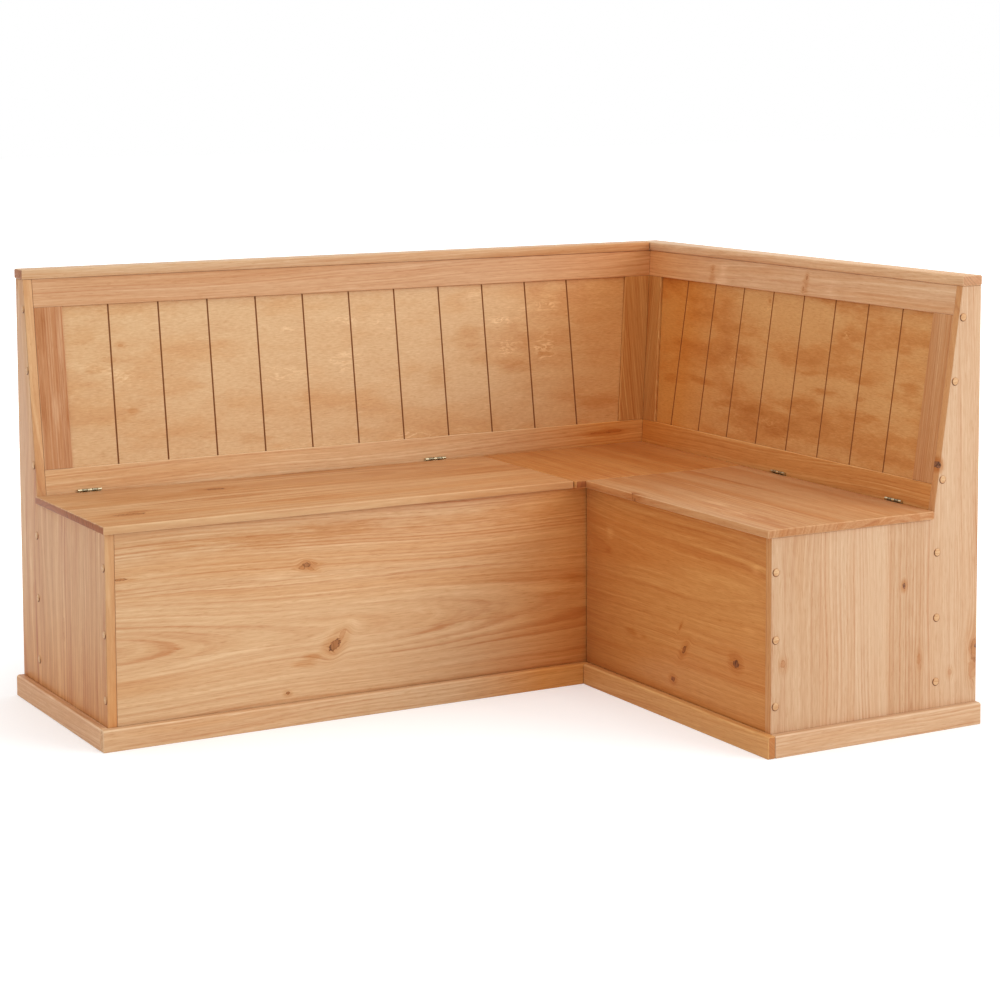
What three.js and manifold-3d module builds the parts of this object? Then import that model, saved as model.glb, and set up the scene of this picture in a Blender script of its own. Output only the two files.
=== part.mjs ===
// Corner storage bench in solid pine: two chests in an L, each with a hinged seat lid, a fixed
// corner seat between them, and leaning frame-and-panel backrests between shaped end panels.
// Millimetres. +Z is up, the long wing runs along X, its back is on the +Y side, and the short
// wing runs from the right-hand end towards -Y. The origin is on the floor, in the middle of the
// bench's outer box.
//
// A wing is built in its own coordinates: x runs from the outer face of its end panel towards the
// corner, y is zero on the wall side and falls towards the sitter. The short wing is the mirror
// image of the long one, turned by a quarter.
import * as THREE from 'three';
import { RoundedBoxGeometry } from 'three/addons/geometries/RoundedBoxGeometry.js';
import { mergeVertices } from 'three/addons/utils/BufferGeometryUtils.js';
import Module from 'manifold-3d';

const wasm = await Module();
wasm.setup();

// Plan of the bench, to the wall sides and the outer faces of the end panels
const longWingLength = 1555;
const shortWingLength = 1160;
const carcassDepth = 494;

// Heights
const seatUnderside = 416;
const panelTop = 865;

// End panels: depth at the top, and where the leaning edge meets the step under the lid
const topDepth = 46.5;
const kneeDepth = 112;
const endPanelThickness = 19;
const endPanelArris = 2;

// Boards of the chests
const frontPanelThickness = 19;
const chestBackThickness = 19;
const partitionThickness = 16;
const chestFloorThickness = 9;
const chestFloorRise = 28;
const floorHousingDepth = 6;
const faceSetBack = 1;
const frontJoint = 2;
const cornerBattenSection = 22;
const boardArris = 1;

// Seat boards
const lidThickness = 16;
const lidFrontOverhang = 13;
const lidEndOverhang = 7;
const lidBackGap = 3.5;
const longLidCornerMargin = 37;
const shortLidCornerMargin = 21;
const lidArris = 2.5;
const seatJoint = 1.5;

// Skirting round the foot
const plinthHeight = 43;
const plinthThickness = 16;
const plinthRound = 5;
const plinthEndArris = 1.5;

// Backrest frames and their grooved panels
const frameThickness = 19;
const stileWidth = 60;
const longCornerStileWidth = 64;
const shortCornerStileWidth = 68;
const topRailWidth = 57.5;
const bottomRailWidth = 66;
const frameArris = 1.2;
const panelThickness = 9;
const panelSetBack = 6;
const tongueDepth = 10;
const boardPitch = 110;
const grooveWidth = 3.6;
const grooveDepth = 3;

// Cap rails
const capThickness = 20;
const capDepth = 48.5;
const capEndOverhang = 3;
const capRound = 3;

// Wooden plugs over the screws in the end panels
const plugRadius = 8;
const plugDepth = 7;
const plugDome = 2;
const upperPlugShares = [0.168, 0.59, 0.866];
const lowerPlugShares = [0.226, 0.531, 0.84];

// Butt hinges
const hingeLength = 52;
const knuckleRadius = 3;
const knuckleCount = 5;
const pinRadius = 1.3;
const leafThickness = 1.2;
const hingeRise = 2.5;
const longHingeInset = 117;
const shortHingeInset = 131;
const leafMargin = 1;

// Clearances: the hairline in every joint, the running fits, and how far a cutter runs past
const jointGap = 0.3;
const plugFit = 0.3;
const housingFit = 0.3;
const pinFit = 0.3;
const knuckleGap = 0.3;
const leafRelief = 0.8;
const overrun = 5;

// Facets
const roundSides = 20;
const knuckleSides = 16;
const domeSteps = 3;
const arrisSteps = 2;

// Slope of the backrests, and the faces that follow from the sizes above
const slopeRise = panelTop - seatUnderside;
const slope = Math.atan2(kneeDepth - topDepth, slopeRise);
const slopeSine = Math.sin(slope);
const slopeCosine = Math.cos(slope);
const slopeTangent = Math.tan(slope);
const faceDepth = kneeDepth - faceSetBack / slopeCosine;
const frontFace = carcassDepth - faceSetBack;
const frontInside = frontFace - frontPanelThickness;
const seatBottom = seatUnderside + jointGap;
const seatTop = seatBottom + lidThickness;
const seatBackEdge = faceDepth + lidBackGap;
// The lids stop short of the inner corner by a margin each, and the corner seat starts there.
const longLidReach = longWingLength - carcassDepth - longLidCornerMargin;
const shortLidReach = shortWingLength - carcassDepth - shortLidCornerMargin;
const lidFront = carcassDepth + lidFrontOverhang;
const plinthReach = plinthThickness + jointGap;
const slopeTop = (slopeRise - jointGap) / slopeCosine;
const slopeFoot = jointGap / slopeCosine;

// The two wings, with what differs between them
const longWing = {
  suffix: 'long',
  end: 'left',
  length: longWingLength,
  lidReach: longLidReach,
  hingeInset: longHingeInset,
  cornerStile: longCornerStileWidth,
  // The long front panel, chest back and skirting run through at the corners.
  frontReach: longWingLength - frontInside,
  chestBackReach: longWingLength - faceDepth + chestBackThickness,
  plinthEnd: longWingLength - carcassDepth - jointGap,
  // Its cap and backrest frame stop against the short wing's.
  capReach: longWingLength - capDepth - jointGap,
  frameReach: longWingLength - faceDepth - jointGap,
};
const shortWing = {
  suffix: 'short',
  end: 'right',
  length: shortWingLength,
  lidReach: shortLidReach,
  hingeInset: shortHingeInset,
  cornerStile: shortCornerStileWidth,
  frontReach: shortWingLength - frontFace - frontJoint,
  chestBackReach: shortWingLength - faceDepth - jointGap,
  plinthEnd: shortWingLength - carcassDepth - plinthReach - jointGap,
  capReach: shortWingLength,
  frameReach: shortWingLength - faceDepth + frameThickness / slopeCosine,
};

// Finishes
const finishes = {
  endPanel: { color: '#dcb386', roughness: 0.5, metalness: 0 },
  chest: { color: '#cf9a66', roughness: 0.48, metalness: 0 },
  inside: { color: '#d6ab7c', roughness: 0.7, metalness: 0 },
  seat: { color: '#cb915c', roughness: 0.42, metalness: 0 },
  frame: { color: '#cc955f', roughness: 0.45, metalness: 0 },
  panel: { color: '#c98d52', roughness: 0.4, metalness: 0 },
  plug: { color: '#c99459', roughness: 0.4, metalness: 0 },
  hinge: { color: '#cdbf94', roughness: 0.3, metalness: 0.9 },
};

// Turns an outline drawn in y and z into a solid that runs along x.
const alongX = new THREE.Matrix4().makeBasis(
  new THREE.Vector3(0, 1, 0),
  new THREE.Vector3(0, 0, 1),
  new THREE.Vector3(1, 0, 0),
);
// Turns an outline drawn in x and z into a solid that runs along -y.
const alongY = new THREE.Matrix4().makeBasis(
  new THREE.Vector3(1, 0, 0),
  new THREE.Vector3(0, 0, 1),
  new THREE.Vector3(0, -1, 0),
);
// Places a piece drawn on the backrest: x along the wing, y through its thickness, z up the slope.
const onSlope = new THREE.Matrix4()
  .makeTranslation(0, -faceDepth, seatUnderside)
  .multiply(new THREE.Matrix4().makeRotationX(-slope));

// Joins and cuts

function solidOf(geometry) {
  const bare = geometry.clone();
  bare.deleteAttribute('normal');
  bare.deleteAttribute('uv');
  const merged = mergeVertices(bare);
  const mesh = new wasm.Mesh({
    numProp: 3,
    vertProperties: new Float32Array(merged.attributes.position.array),
    triVerts: new Uint32Array(merged.index.array),
  });
  return new wasm.Manifold(mesh);
}

function geometryOf(solid) {
  const mesh = solid.getMesh();
  const geometry = new THREE.BufferGeometry();
  geometry.setAttribute('position', new THREE.BufferAttribute(mesh.vertProperties, 3));
  geometry.setIndex(new THREE.BufferAttribute(mesh.triVerts, 1));
  const flat = geometry.toNonIndexed();
  flat.computeVertexNormals();
  return flat;
}

function cut(geometry, cutters) {
  return geometryOf(cutters.reduce((solid, cutter) => solid.subtract(solidOf(cutter)), solidOf(geometry)));
}

function joined(geometries) {
  return geometryOf(geometries.map(solidOf).reduce((whole, part) => whole.add(part)));
}

// Basic forms

// A plain box between two corners.
function block(low, high) {
  const size = high.map((value, axis) => value - low[axis]);
  const middle = high.map((value, axis) => (value + low[axis]) / 2);
  return new THREE.BoxGeometry(...size).translate(...middle);
}

// A planed board between two corners, with softened edges.
function board(low, high, arris) {
  const size = high.map((value, axis) => value - low[axis]);
  const middle = high.map((value, axis) => (value + low[axis]) / 2);
  return new RoundedBoxGeometry(...size, 1, arris).translate(...middle);
}

// An outline of [y, z] points, from one x to another.
function profileAlongX(points, from, to) {
  const shape = new THREE.Shape(points.map(([a, b]) => new THREE.Vector2(a, b)));
  const solid = new THREE.ExtrudeGeometry(shape, { depth: to - from, bevelEnabled: false });
  return solid.applyMatrix4(alongX).translate(from, 0, 0);
}

// A round bar along x.
function roundBar(radius, from, to, sides) {
  const bar = new THREE.CylinderGeometry(radius, radius, to - from, sides);
  return bar.rotateZ(Math.PI / 2).translate((from + to) / 2, 0, 0);
}

// A point on the backrest, by its distance behind the face and up the slope, as [y, z].
function slopePoint(back, up) {
  const y = -faceDepth + up * slopeSine + back * slopeCosine;
  const z = seatUnderside + up * slopeCosine - back * slopeSine;
  return [y, z];
}

// Everything beyond the leaning corner plane of a wing. Its x at the step's height is given.
function beyondCorner(x) {
  const reachAt = (height) => x + (height - seatUnderside) * slopeTangent;
  const low = seatUnderside - carcassDepth;
  const high = panelTop + carcassDepth;
  const far = reachAt(high) + carcassDepth;
  const shape = new THREE.Shape([
    new THREE.Vector2(reachAt(low), low),
    new THREE.Vector2(far, low),
    new THREE.Vector2(far, high),
    new THREE.Vector2(reachAt(high), high),
  ]);
  const solid = new THREE.ExtrudeGeometry(shape, { depth: carcassDepth, bevelEnabled: false });
  return solid.applyMatrix4(alongY);
}

// End panels and their plugs

function plugPlaces() {
  const middle = faceSetBack + frameThickness / 2;
  const upper = upperPlugShares.map((share) => {
    const height = seatUnderside + share * slopeRise;
    const edge = kneeDepth - share * (kneeDepth - topDepth);
    return [-(edge - middle / slopeCosine), height];
  });
  const backLine = faceDepth - chestBackThickness / 2;
  const frontLine = frontFace - frontPanelThickness / 2;
  const lower = [backLine, frontLine].flatMap((depth) =>
    lowerPlugShares.map((share) => [-depth, share * seatUnderside]),
  );
  return [...upper, ...lower];
}

function endPanel() {
  const outline = new THREE.Shape([
    new THREE.Vector2(0, 0),
    new THREE.Vector2(-carcassDepth, 0),
    new THREE.Vector2(-carcassDepth, seatUnderside),
    new THREE.Vector2(-kneeDepth, seatUnderside),
    new THREE.Vector2(-topDepth, panelTop),
    new THREE.Vector2(0, panelTop),
  ]);
  const panel = new THREE.ExtrudeGeometry(outline, {
    depth: endPanelThickness - 2 * endPanelArris,
    bevelThickness: endPanelArris,
    bevelSize: endPanelArris,
    bevelOffset: -endPanelArris,
    bevelSegments: arrisSteps,
  });
  panel.applyMatrix4(alongX).translate(endPanelArris, 0, 0);
  const bores = plugPlaces().map(([y, z]) =>
    roundBar(plugRadius + plugFit, -overrun, plugDepth + plugFit, roundSides).translate(0, y, z),
  );
  return cut(panel, bores);
}

// A domed plug, sunk in its bore with the dome standing proud of the panel.
function plug() {
  const profile = [new THREE.Vector2(0, -plugDepth), new THREE.Vector2(plugRadius, -plugDepth)];
  for (let step = 0; step <= domeSteps; step += 1) {
    const turn = (step / domeSteps) * (Math.PI / 2);
    profile.push(new THREE.Vector2(plugRadius * Math.cos(turn), plugDome * Math.sin(turn)));
  }
  profile[profile.length - 1].x = 0;
  return new THREE.LatheGeometry(profile, roundSides).rotateZ(Math.PI / 2);
}

// Chest boards

// The groove along a board that holds the edge of the chest floor.
function floorHousing(reach, yFrom, yTo) {
  const low = [-overrun, yFrom, chestFloorRise - housingFit];
  const high = [reach + overrun, yTo, chestFloorRise + chestFloorThickness + housingFit];
  return block(low, high);
}

function frontPanel(wing) {
  const low = [endPanelThickness + jointGap, -frontFace, 0];
  const high = [wing.frontReach, -frontInside, seatUnderside];
  const housing = floorHousing(wing.length, -frontInside - floorHousingDepth, -frontInside + overrun);
  return cut(board(low, high, boardArris), [housing]);
}

function chestBack(wing) {
  const low = [endPanelThickness + jointGap, -faceDepth, 0];
  const high = [wing.chestBackReach, -faceDepth + chestBackThickness, seatUnderside];
  const housing = floorHousing(wing.length, -faceDepth - overrun, -faceDepth + floorHousingDepth);
  return cut(board(low, high, boardArris), [housing]);
}

function partitionMiddle(wing) {
  return wing.lidReach + seatJoint / 2;
}

function partition(wing) {
  const middle = partitionMiddle(wing);
  const low = [middle - partitionThickness / 2, -frontInside + jointGap, 0];
  const high = [middle + partitionThickness / 2, -faceDepth - jointGap, seatUnderside];
  return board(low, high, boardArris);
}

function chestFloor(wing) {
  const inside = partitionMiddle(wing) - partitionThickness / 2;
  const grip = floorHousingDepth - housingFit;
  const low = [endPanelThickness + jointGap, -frontInside - grip, chestFloorRise];
  const high = [inside - jointGap, -faceDepth + grip, chestFloorRise + chestFloorThickness];
  return block(low, high);
}

// Skirting boards, with the upper outer edge rounded over. The section is drawn against the
// board behind it: x is the distance out from that board and y the height.
function plinthBoard(length) {
  const section = new THREE.Shape();
  section.moveTo(0, 0);
  section.lineTo(plinthThickness, 0);
  section.lineTo(plinthThickness, plinthHeight - plinthRound);
  section.absarc(plinthThickness - plinthRound, plinthHeight - plinthRound, plinthRound, 0, Math.PI / 2);
  section.lineTo(0, plinthHeight);
  return new THREE.ExtrudeGeometry(section, {
    depth: length - 2 * plinthEndArris,
    curveSegments: 2 * arrisSteps,
    bevelThickness: plinthEndArris,
    bevelSize: plinthEndArris,
    bevelOffset: -plinthEndArris,
    bevelSegments: 1,
  }).translate(0, 0, plinthEndArris);
}

// Runs across the outer face of the end panel, from the wall to the front board.
function plinthEndBoard() {
  const turn = new THREE.Matrix4().makeBasis(
    new THREE.Vector3(-1, 0, 0),
    new THREE.Vector3(0, 0, 1),
    new THREE.Vector3(0, 1, 0),
  );
  return plinthBoard(carcassDepth).applyMatrix4(turn).translate(-jointGap, -carcassDepth, 0);
}

// Runs along the front and covers the end of the board across the end panel.
function plinthFrontBoard(wing) {
  const turn = new THREE.Matrix4().makeBasis(
    new THREE.Vector3(0, -1, 0),
    new THREE.Vector3(0, 0, 1),
    new THREE.Vector3(-1, 0, 0),
  );
  const length = wing.plinthEnd + plinthReach;
  return plinthBoard(length).applyMatrix4(turn).translate(wing.plinthEnd, -carcassDepth - jointGap, 0);
}

// Seat boards and cap rails

function lid(wing) {
  const low = [-lidEndOverhang, -lidFront, seatBottom];
  const high = [wing.lidReach, -seatBackEdge, seatTop];
  return board(low, high, lidArris);
}

function cap(wing) {
  const low = [-capEndOverhang, -capDepth, panelTop + jointGap];
  const high = [wing.capReach, 0, panelTop + jointGap + capThickness];
  return board(low, high, capRound);
}

// Backrest: rails run full length, stiles stand between them, and the panel sits in grooves

const panelBack = panelSetBack + panelThickness;
const bottomRailTop = slopeFoot + bottomRailWidth;
const topRailFoot = slopeTop - topRailWidth;

function withCornerCut(geometry, wing, inset) {
  return cut(geometry, [beyondCorner(wing.frameReach - inset)]);
}

function topRail(wing) {
  const points = [
    slopePoint(0, slopeTop),
    slopePoint(frameThickness, slopeTop + frameThickness * slopeTangent),
    slopePoint(frameThickness, topRailFoot),
    slopePoint(panelBack + housingFit, topRailFoot),
    slopePoint(panelBack + housingFit, topRailFoot + tongueDepth),
    slopePoint(panelSetBack - housingFit, topRailFoot + tongueDepth),
    slopePoint(panelSetBack - housingFit, topRailFoot),
    slopePoint(frameArris, topRailFoot),
    slopePoint(0, topRailFoot + frameArris),
  ];
  return withCornerCut(profileAlongX(points, endPanelThickness + jointGap, wing.length), wing, 0);
}

function bottomRail(wing) {
  const points = [
    slopePoint(0, slopeFoot),
    slopePoint(0, bottomRailTop - frameArris),
    slopePoint(frameArris, bottomRailTop),
    slopePoint(panelSetBack - housingFit, bottomRailTop),
    slopePoint(panelSetBack - housingFit, bottomRailTop - tongueDepth),
    slopePoint(panelBack + housingFit, bottomRailTop - tongueDepth),
    slopePoint(panelBack + housingFit, bottomRailTop),
    slopePoint(frameThickness, bottomRailTop),
    slopePoint(frameThickness, slopeFoot + frameThickness * slopeTangent),
  ];
  return withCornerCut(profileAlongX(points, endPanelThickness + jointGap, wing.length), wing, 0);
}

// The section of a stile in x and y, with its outer edge at zero and its grooved edge at a width.
// The side is 1 where the grooved edge lies towards the corner and -1 where it lies away from it.
function stileSection(width, side) {
  const points = [
    [0, 0],
    [width - frameArris, 0],
    [width, frameArris],
    [width, panelSetBack - housingFit],
    [width - tongueDepth, panelSetBack - housingFit],
    [width - tongueDepth, panelBack + housingFit],
    [width, panelBack + housingFit],
    [width, frameThickness],
    [0, frameThickness],
  ];
  return new THREE.Shape(points.map(([x, y]) => new THREE.Vector2(side * x, y)));
}

function outerStile() {
  const foot = bottomRailTop + jointGap;
  const depth = topRailFoot - jointGap - foot;
  const stile = new THREE.ExtrudeGeometry(stileSection(stileWidth, 1), { depth, bevelEnabled: false });
  return stile.translate(endPanelThickness + jointGap, 0, foot).applyMatrix4(onSlope);
}

// The corner stile leans sideways as well, along the face of the other wing's backrest.
function cornerStile(wing) {
  const foot = bottomRailTop + jointGap;
  const depth = topRailFoot - jointGap - foot;
  const section = stileSection(wing.cornerStile / slopeCosine + overrun, -1);
  const stile = new THREE.ExtrudeGeometry(section, { depth, bevelEnabled: false });
  const lean = new THREE.Matrix4().makeShear(0, 0, 0, 0, slopeSine, 0);
  stile.translate(overrun, 0, foot).applyMatrix4(lean).applyMatrix4(onSlope);
  stile.translate(wing.frameReach, 0, 0);
  return withCornerCut(stile, wing, 0);
}

// The panel is one sheet with a V groove between each pair of boards.
function groovedPanel(wing) {
  const start = endPanelThickness + stileWidth - tongueDepth + housingFit + jointGap;
  const cornerEdge = wing.cornerStile / slopeCosine;
  const narrowest = wing.frameReach + bottomRailTop * slopeSine - cornerEdge;
  const grooves = Math.floor((narrowest - start) / boardPitch);
  const shape = new THREE.Shape();
  shape.moveTo(start, panelBack);
  shape.lineTo(start, panelSetBack);
  for (let groove = 1; groove <= grooves; groove += 1) {
    const x = start + groove * boardPitch;
    shape.lineTo(x - grooveWidth / 2, panelSetBack);
    shape.lineTo(x, panelSetBack + grooveDepth);
    shape.lineTo(x + grooveWidth / 2, panelSetBack);
  }
  shape.lineTo(wing.length, panelSetBack);
  shape.lineTo(wing.length, panelBack);
  const foot = bottomRailTop - tongueDepth + housingFit;
  const depth = topRailFoot + tongueDepth - housingFit - foot;
  const sheet = new THREE.ExtrudeGeometry(shape, { depth, bevelEnabled: false });
  sheet.translate(0, 0, foot).applyMatrix4(onSlope);
  return withCornerCut(sheet, wing, cornerEdge - tongueDepth + housingFit);
}

// Hinges: five knuckles on one pin, the odd ones on the fixed leaf and the even ones on the lid's

const hingeHeight = seatTop + hingeRise;
const hingeBack = -(jointGap + knuckleRadius);
const hingeUp = (hingeHeight - seatUnderside + hingeBack * slopeSine) / slopeCosine;
const [hingeY] = slopePoint(hingeBack, hingeUp);

function knuckleSpan(index) {
  const pitch = hingeLength / knuckleCount;
  const from = -hingeLength / 2 + index * pitch;
  return [from + knuckleGap / 2, from + pitch - knuckleGap / 2];
}

// Which knuckles belong to a leaf: every second one, from the first or the second.
function knuckleSpans(first) {
  const spans = [];
  for (let index = first; index < knuckleCount; index += 2) {
    spans.push(knuckleSpan(index));
  }
  return spans;
}

// The fixed leaf lies on the leaning face of the bottom rail and carries the pin.
function fixedLeaf() {
  const face = -jointGap;
  const plateTop = hingeUp - knuckleRadius - leafRelief;
  const low = [-hingeLength / 2, face - leafThickness, slopeFoot + leafMargin];
  const plate = block(low, [hingeLength / 2, face, plateTop]).applyMatrix4(onSlope);
  const tabs = knuckleSpans(0).map(([from, to]) =>
    block([from, face - leafThickness, plateTop - leafMargin], [to, face, hingeUp]).applyMatrix4(onSlope),
  );
  const knuckles = knuckleSpans(0).map(([from, to]) =>
    roundBar(knuckleRadius, from, to, knuckleSides).translate(0, hingeY, hingeHeight),
  );
  const half = hingeLength / 2 - knuckleGap / 2;
  const pin = roundBar(pinRadius, -half, half, knuckleSides).translate(0, hingeY, hingeHeight);
  return joined([plate, ...tabs, ...knuckles, pin]).translate(0, -hingeY, -hingeHeight);
}

// The moving leaf stands against the back edge of the lid.
function lidLeaf() {
  const face = -seatBackEdge + jointGap;
  const plateTop = hingeHeight - knuckleRadius - leafRelief;
  const low = [-hingeLength / 2, face, seatBottom + leafMargin];
  const plate = block(low, [hingeLength / 2, face + leafThickness, plateTop]);
  const tabs = knuckleSpans(1).map(([from, to]) =>
    block([from, face, plateTop - leafMargin], [to, face + leafThickness, hingeHeight]),
  );
  const knuckles = knuckleSpans(1).map(([from, to]) =>
    roundBar(knuckleRadius, from, to, knuckleSides).translate(0, hingeY, hingeHeight),
  );
  const boreRadius = pinRadius + pinFit;
  const bore = roundBar(boreRadius, -hingeLength, hingeLength, knuckleSides);
  bore.translate(0, hingeY, hingeHeight);
  const leaf = cut(joined([plate, ...tabs, ...knuckles]), [bore]);
  return leaf.translate(0, -hingeY, -hingeHeight);
}

// Corner seat and the battens that carry its wall sides

function cornerSeat() {
  const low = [longLidReach + seatJoint, -(shortWingLength - shortLidReach) + seatJoint, seatBottom];
  const high = [longWingLength - faceDepth - jointGap, -faceDepth - jointGap, seatTop];
  return board(low, high, lidArris);
}

function cornerBatten(from, to) {
  const size = cornerBattenSection;
  return board([from, -size, seatUnderside - size], [to, 0, seatUnderside], boardArris);
}

// Assembly

function piece(name, geometry, finish) {
  const mesh = new THREE.Mesh(geometry, new THREE.MeshStandardMaterial(finishes[finish]));
  mesh.name = name;
  return mesh;
}

function addHinges(group, wing) {
  const middles = [wing.hingeInset - lidEndOverhang, wing.lidReach - wing.hingeInset];
  ['outer', 'inner'].forEach((place, index) => {
    const fixed = piece(`hinge_leaf_fixed_${wing.suffix}_${place}`, fixedLeaf(), 'hinge');
    const moving = piece(`hinge_leaf_lid_${wing.suffix}_${place}`, lidLeaf(), 'hinge');
    fixed.position.set(middles[index], hingeY, hingeHeight);
    moving.position.set(middles[index], hingeY, hingeHeight);
    group.add(fixed, moving);
  });
}

function addPlugs(group, wing) {
  plugPlaces().forEach(([y, z], index) => {
    const button = piece(`plug_${wing.end}_${index + 1}`, plug(), 'plug');
    button.position.set(0, y, z);
    group.add(button);
  });
}

function wingGroup(wing) {
  const group = new THREE.Group();
  const name = wing.suffix;
  group.add(
    piece(`end_panel_${wing.end}`, endPanel(), 'endPanel'),
    piece(`front_panel_${name}`, frontPanel(wing), 'chest'),
    piece(`chest_back_${name}`, chestBack(wing), 'inside'),
    piece(`partition_${name}`, partition(wing), 'inside'),
    piece(`chest_floor_${name}`, chestFloor(wing), 'inside'),
    piece(`plinth_end_${wing.end}`, plinthEndBoard(), 'chest'),
    piece(`plinth_front_${name}`, plinthFrontBoard(wing), 'chest'),
    piece(`lid_${name}`, lid(wing), 'seat'),
    piece(`cap_rail_${name}`, cap(wing), 'frame'),
    piece(`top_rail_${name}`, topRail(wing), 'frame'),
    piece(`bottom_rail_${name}`, bottomRail(wing), 'frame'),
    piece(`outer_stile_${name}`, outerStile(), 'frame'),
    piece(`corner_stile_${name}`, cornerStile(wing), 'frame'),
    piece(`grooved_panel_${name}`, groovedPanel(wing), 'panel'),
  );
  addHinges(group, wing);
  addPlugs(group, wing);
  return group;
}

function cornerGroup() {
  const group = new THREE.Group();
  group.add(piece('corner_seat', cornerSeat(), 'seat'));

  const clear = faceDepth + jointGap;
  const partitionInside = partitionThickness / 2 + jointGap;
  const longStart = partitionMiddle(longWing) + partitionInside;
  const longBatten = piece('corner_batten_long', cornerBatten(longStart, longWingLength - clear), 'inside');
  longBatten.position.set(0, -clear, 0);

  const shortStart = partitionMiddle(shortWing) + partitionInside;
  const shortEnd = shortWingLength - clear - cornerBattenSection - jointGap;
  const shortBatten = piece('corner_batten_short', cornerBatten(shortStart, shortEnd), 'inside');
  shortBatten.position.set(longWingLength - clear, -shortWingLength, 0);
  shortBatten.rotation.z = Math.PI / 2;
  shortBatten.scale.y = -1;

  group.add(longBatten, shortBatten);
  return group;
}

const bench = new THREE.Group();
const shortSide = wingGroup(shortWing);
shortSide.position.set(longWingLength, -shortWingLength, 0);
shortSide.rotation.z = Math.PI / 2;
shortSide.scale.y = -1;
bench.add(wingGroup(longWing), shortSide, cornerGroup());
bench.position.set((plinthReach - longWingLength) / 2, (shortWingLength + plinthReach) / 2, 0);

export default bench;
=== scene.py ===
"""Corner storage bench in lacquered pine: its boards, grooved backrests, plugs, hinges and the room."""
import math
from collections import namedtuple

import bmesh
import bpy
from mathutils import Matrix, Vector


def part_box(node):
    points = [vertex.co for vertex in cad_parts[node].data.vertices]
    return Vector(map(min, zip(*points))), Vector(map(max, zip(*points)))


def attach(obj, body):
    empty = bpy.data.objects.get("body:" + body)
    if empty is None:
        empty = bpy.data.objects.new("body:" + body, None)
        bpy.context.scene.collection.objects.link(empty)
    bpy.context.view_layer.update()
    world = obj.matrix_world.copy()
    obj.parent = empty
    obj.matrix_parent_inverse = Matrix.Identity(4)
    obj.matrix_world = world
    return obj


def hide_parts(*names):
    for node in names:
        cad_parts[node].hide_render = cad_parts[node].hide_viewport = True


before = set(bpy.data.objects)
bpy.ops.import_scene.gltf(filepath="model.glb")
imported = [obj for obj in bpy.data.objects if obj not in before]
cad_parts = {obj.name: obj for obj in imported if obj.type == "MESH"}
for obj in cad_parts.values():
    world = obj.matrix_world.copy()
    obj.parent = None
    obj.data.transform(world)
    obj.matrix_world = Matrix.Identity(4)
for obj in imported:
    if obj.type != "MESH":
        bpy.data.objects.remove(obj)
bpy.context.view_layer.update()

bl_info = {
    "name": "Corner storage bench",
    "version": (1, 0, 0),
    "blender": (4, 5, 0),
    "location": "3D View > Sidebar > Bench",
    "description": "Dresses the packed corner bench in lacquered pine and sets its room",
    "category": "Object",
}

# Faces and heights that the frame gives, in metres
END_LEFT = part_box("end_panel_left")[0].x
END_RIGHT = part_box("end_panel_right")[0].y
LONG_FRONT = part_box("front_panel_long")[0].y
SHORT_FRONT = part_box("front_panel_short")[0].x
SEAT_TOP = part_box("lid_long")[1].z
SEAT_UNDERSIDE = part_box("front_panel_long")[1].z
PANEL_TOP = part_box("end_panel_left")[1].z

# The backrests lean from the knee of the end panels to their top
KNEE_DEPTH = 0.112
TOP_DEPTH = 0.0465
LEAN = math.atan2(KNEE_DEPTH - TOP_DEPTH, PANEL_TOP - SEAT_UNDERSIDE)
LEAN_SINE = math.sin(LEAN)
LEAN_COSINE = math.cos(LEAN)

# Directions in which grain runs and faces look
EAST = Vector((1, 0, 0))
WEST = Vector((-1, 0, 0))
SOUTH = Vector((0, -1, 0))
UP = Vector((0, 0, 1))
LONG_FACE = Vector((0, -LEAN_COSINE, LEAN_SINE))
LONG_SLOPE = Vector((0, LEAN_SINE, LEAN_COSINE))
SHORT_FACE = Vector((-LEAN_COSINE, 0, LEAN_SINE))
SHORT_SLOPE = Vector((LEAN_SINE, 0, LEAN_COSINE))

# Making of the meshes: what counts as one point, what stays flat, and how edges are eased
WELD = 0.00002
PLUG_WELD = 0.000002
FLAT_ANGLE = math.radians(0.6)
EDGE_ANGLE = math.radians(24)
FRAME_ARRIS = 0.0006
SEAT_ARRIS = 0.0011
GROOVE_ARRIS = 0.0003
HINGE_ARRIS = 0.00022

# How far the stiles' ends and the caps' undersides reach into their joints
JOINT_OVERLAP = 0.00029

# Hinges: their facets, and how the leaves lie to the pin
KNUCKLE_SIDES = 28
PIN_SIDES = 20
SCREW_SIDES = 24
TAB_DROP = 0.0016
PLATE_DROP = 0.0008
SCREW_PROUD = 0.00012
SCREW_SPACING_SHARE = 0.33
SLOT_LENGTH_SHARE = 1.3
SLOT_WIDTH_SHARE = 0.3
FIXED_LEAF = {"First": 0, "Face": 0.0018, "Foot": 0.0172}
LID_LEAF = {"First": 1, "Face": 0.00141, "Foot": 0.0175, "Pin": 0.0}
FIXED_BORE_SHARE = 0.9
LID_BORE_SHARE = 1.2

# Brass: the level of the fixed leaves, the lower level of the lid leaves, which is painted shade on the
# same brass, and what is left of a level in the darker specks
BRIGHT = 0.85
LID_LEAF_SHADE = 0.45
DULL_SHARE = 0.35

# Plugs: how many each end has, their facets, and the shares of the profile that dome and wall take
PLUGS_AN_END = 9
PROFILE_POINTS = 21
DOME_SHARE = 0.7
WALL_SHARE = 0.15

# Painted shadow round a plug's rim: on which side it falls, and over which shares of the plug's radius
PAINTED_SHADOW_SIDE = (-0.3, 0.3, -0.9)
PAINTED_SHADOW_START, PAINTED_SHADOW_END = -0.85, -0.2
RIM_START, RIM_END = 0.74, 0.88


def length_property(name, description, value):
    return bpy.props.FloatProperty(
        name=name, description=description, default=value, unit="LENGTH", subtype="DISTANCE")


def count_property(name, description, value):
    return bpy.props.IntProperty(name=name, description=description, default=value, min=1)


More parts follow.
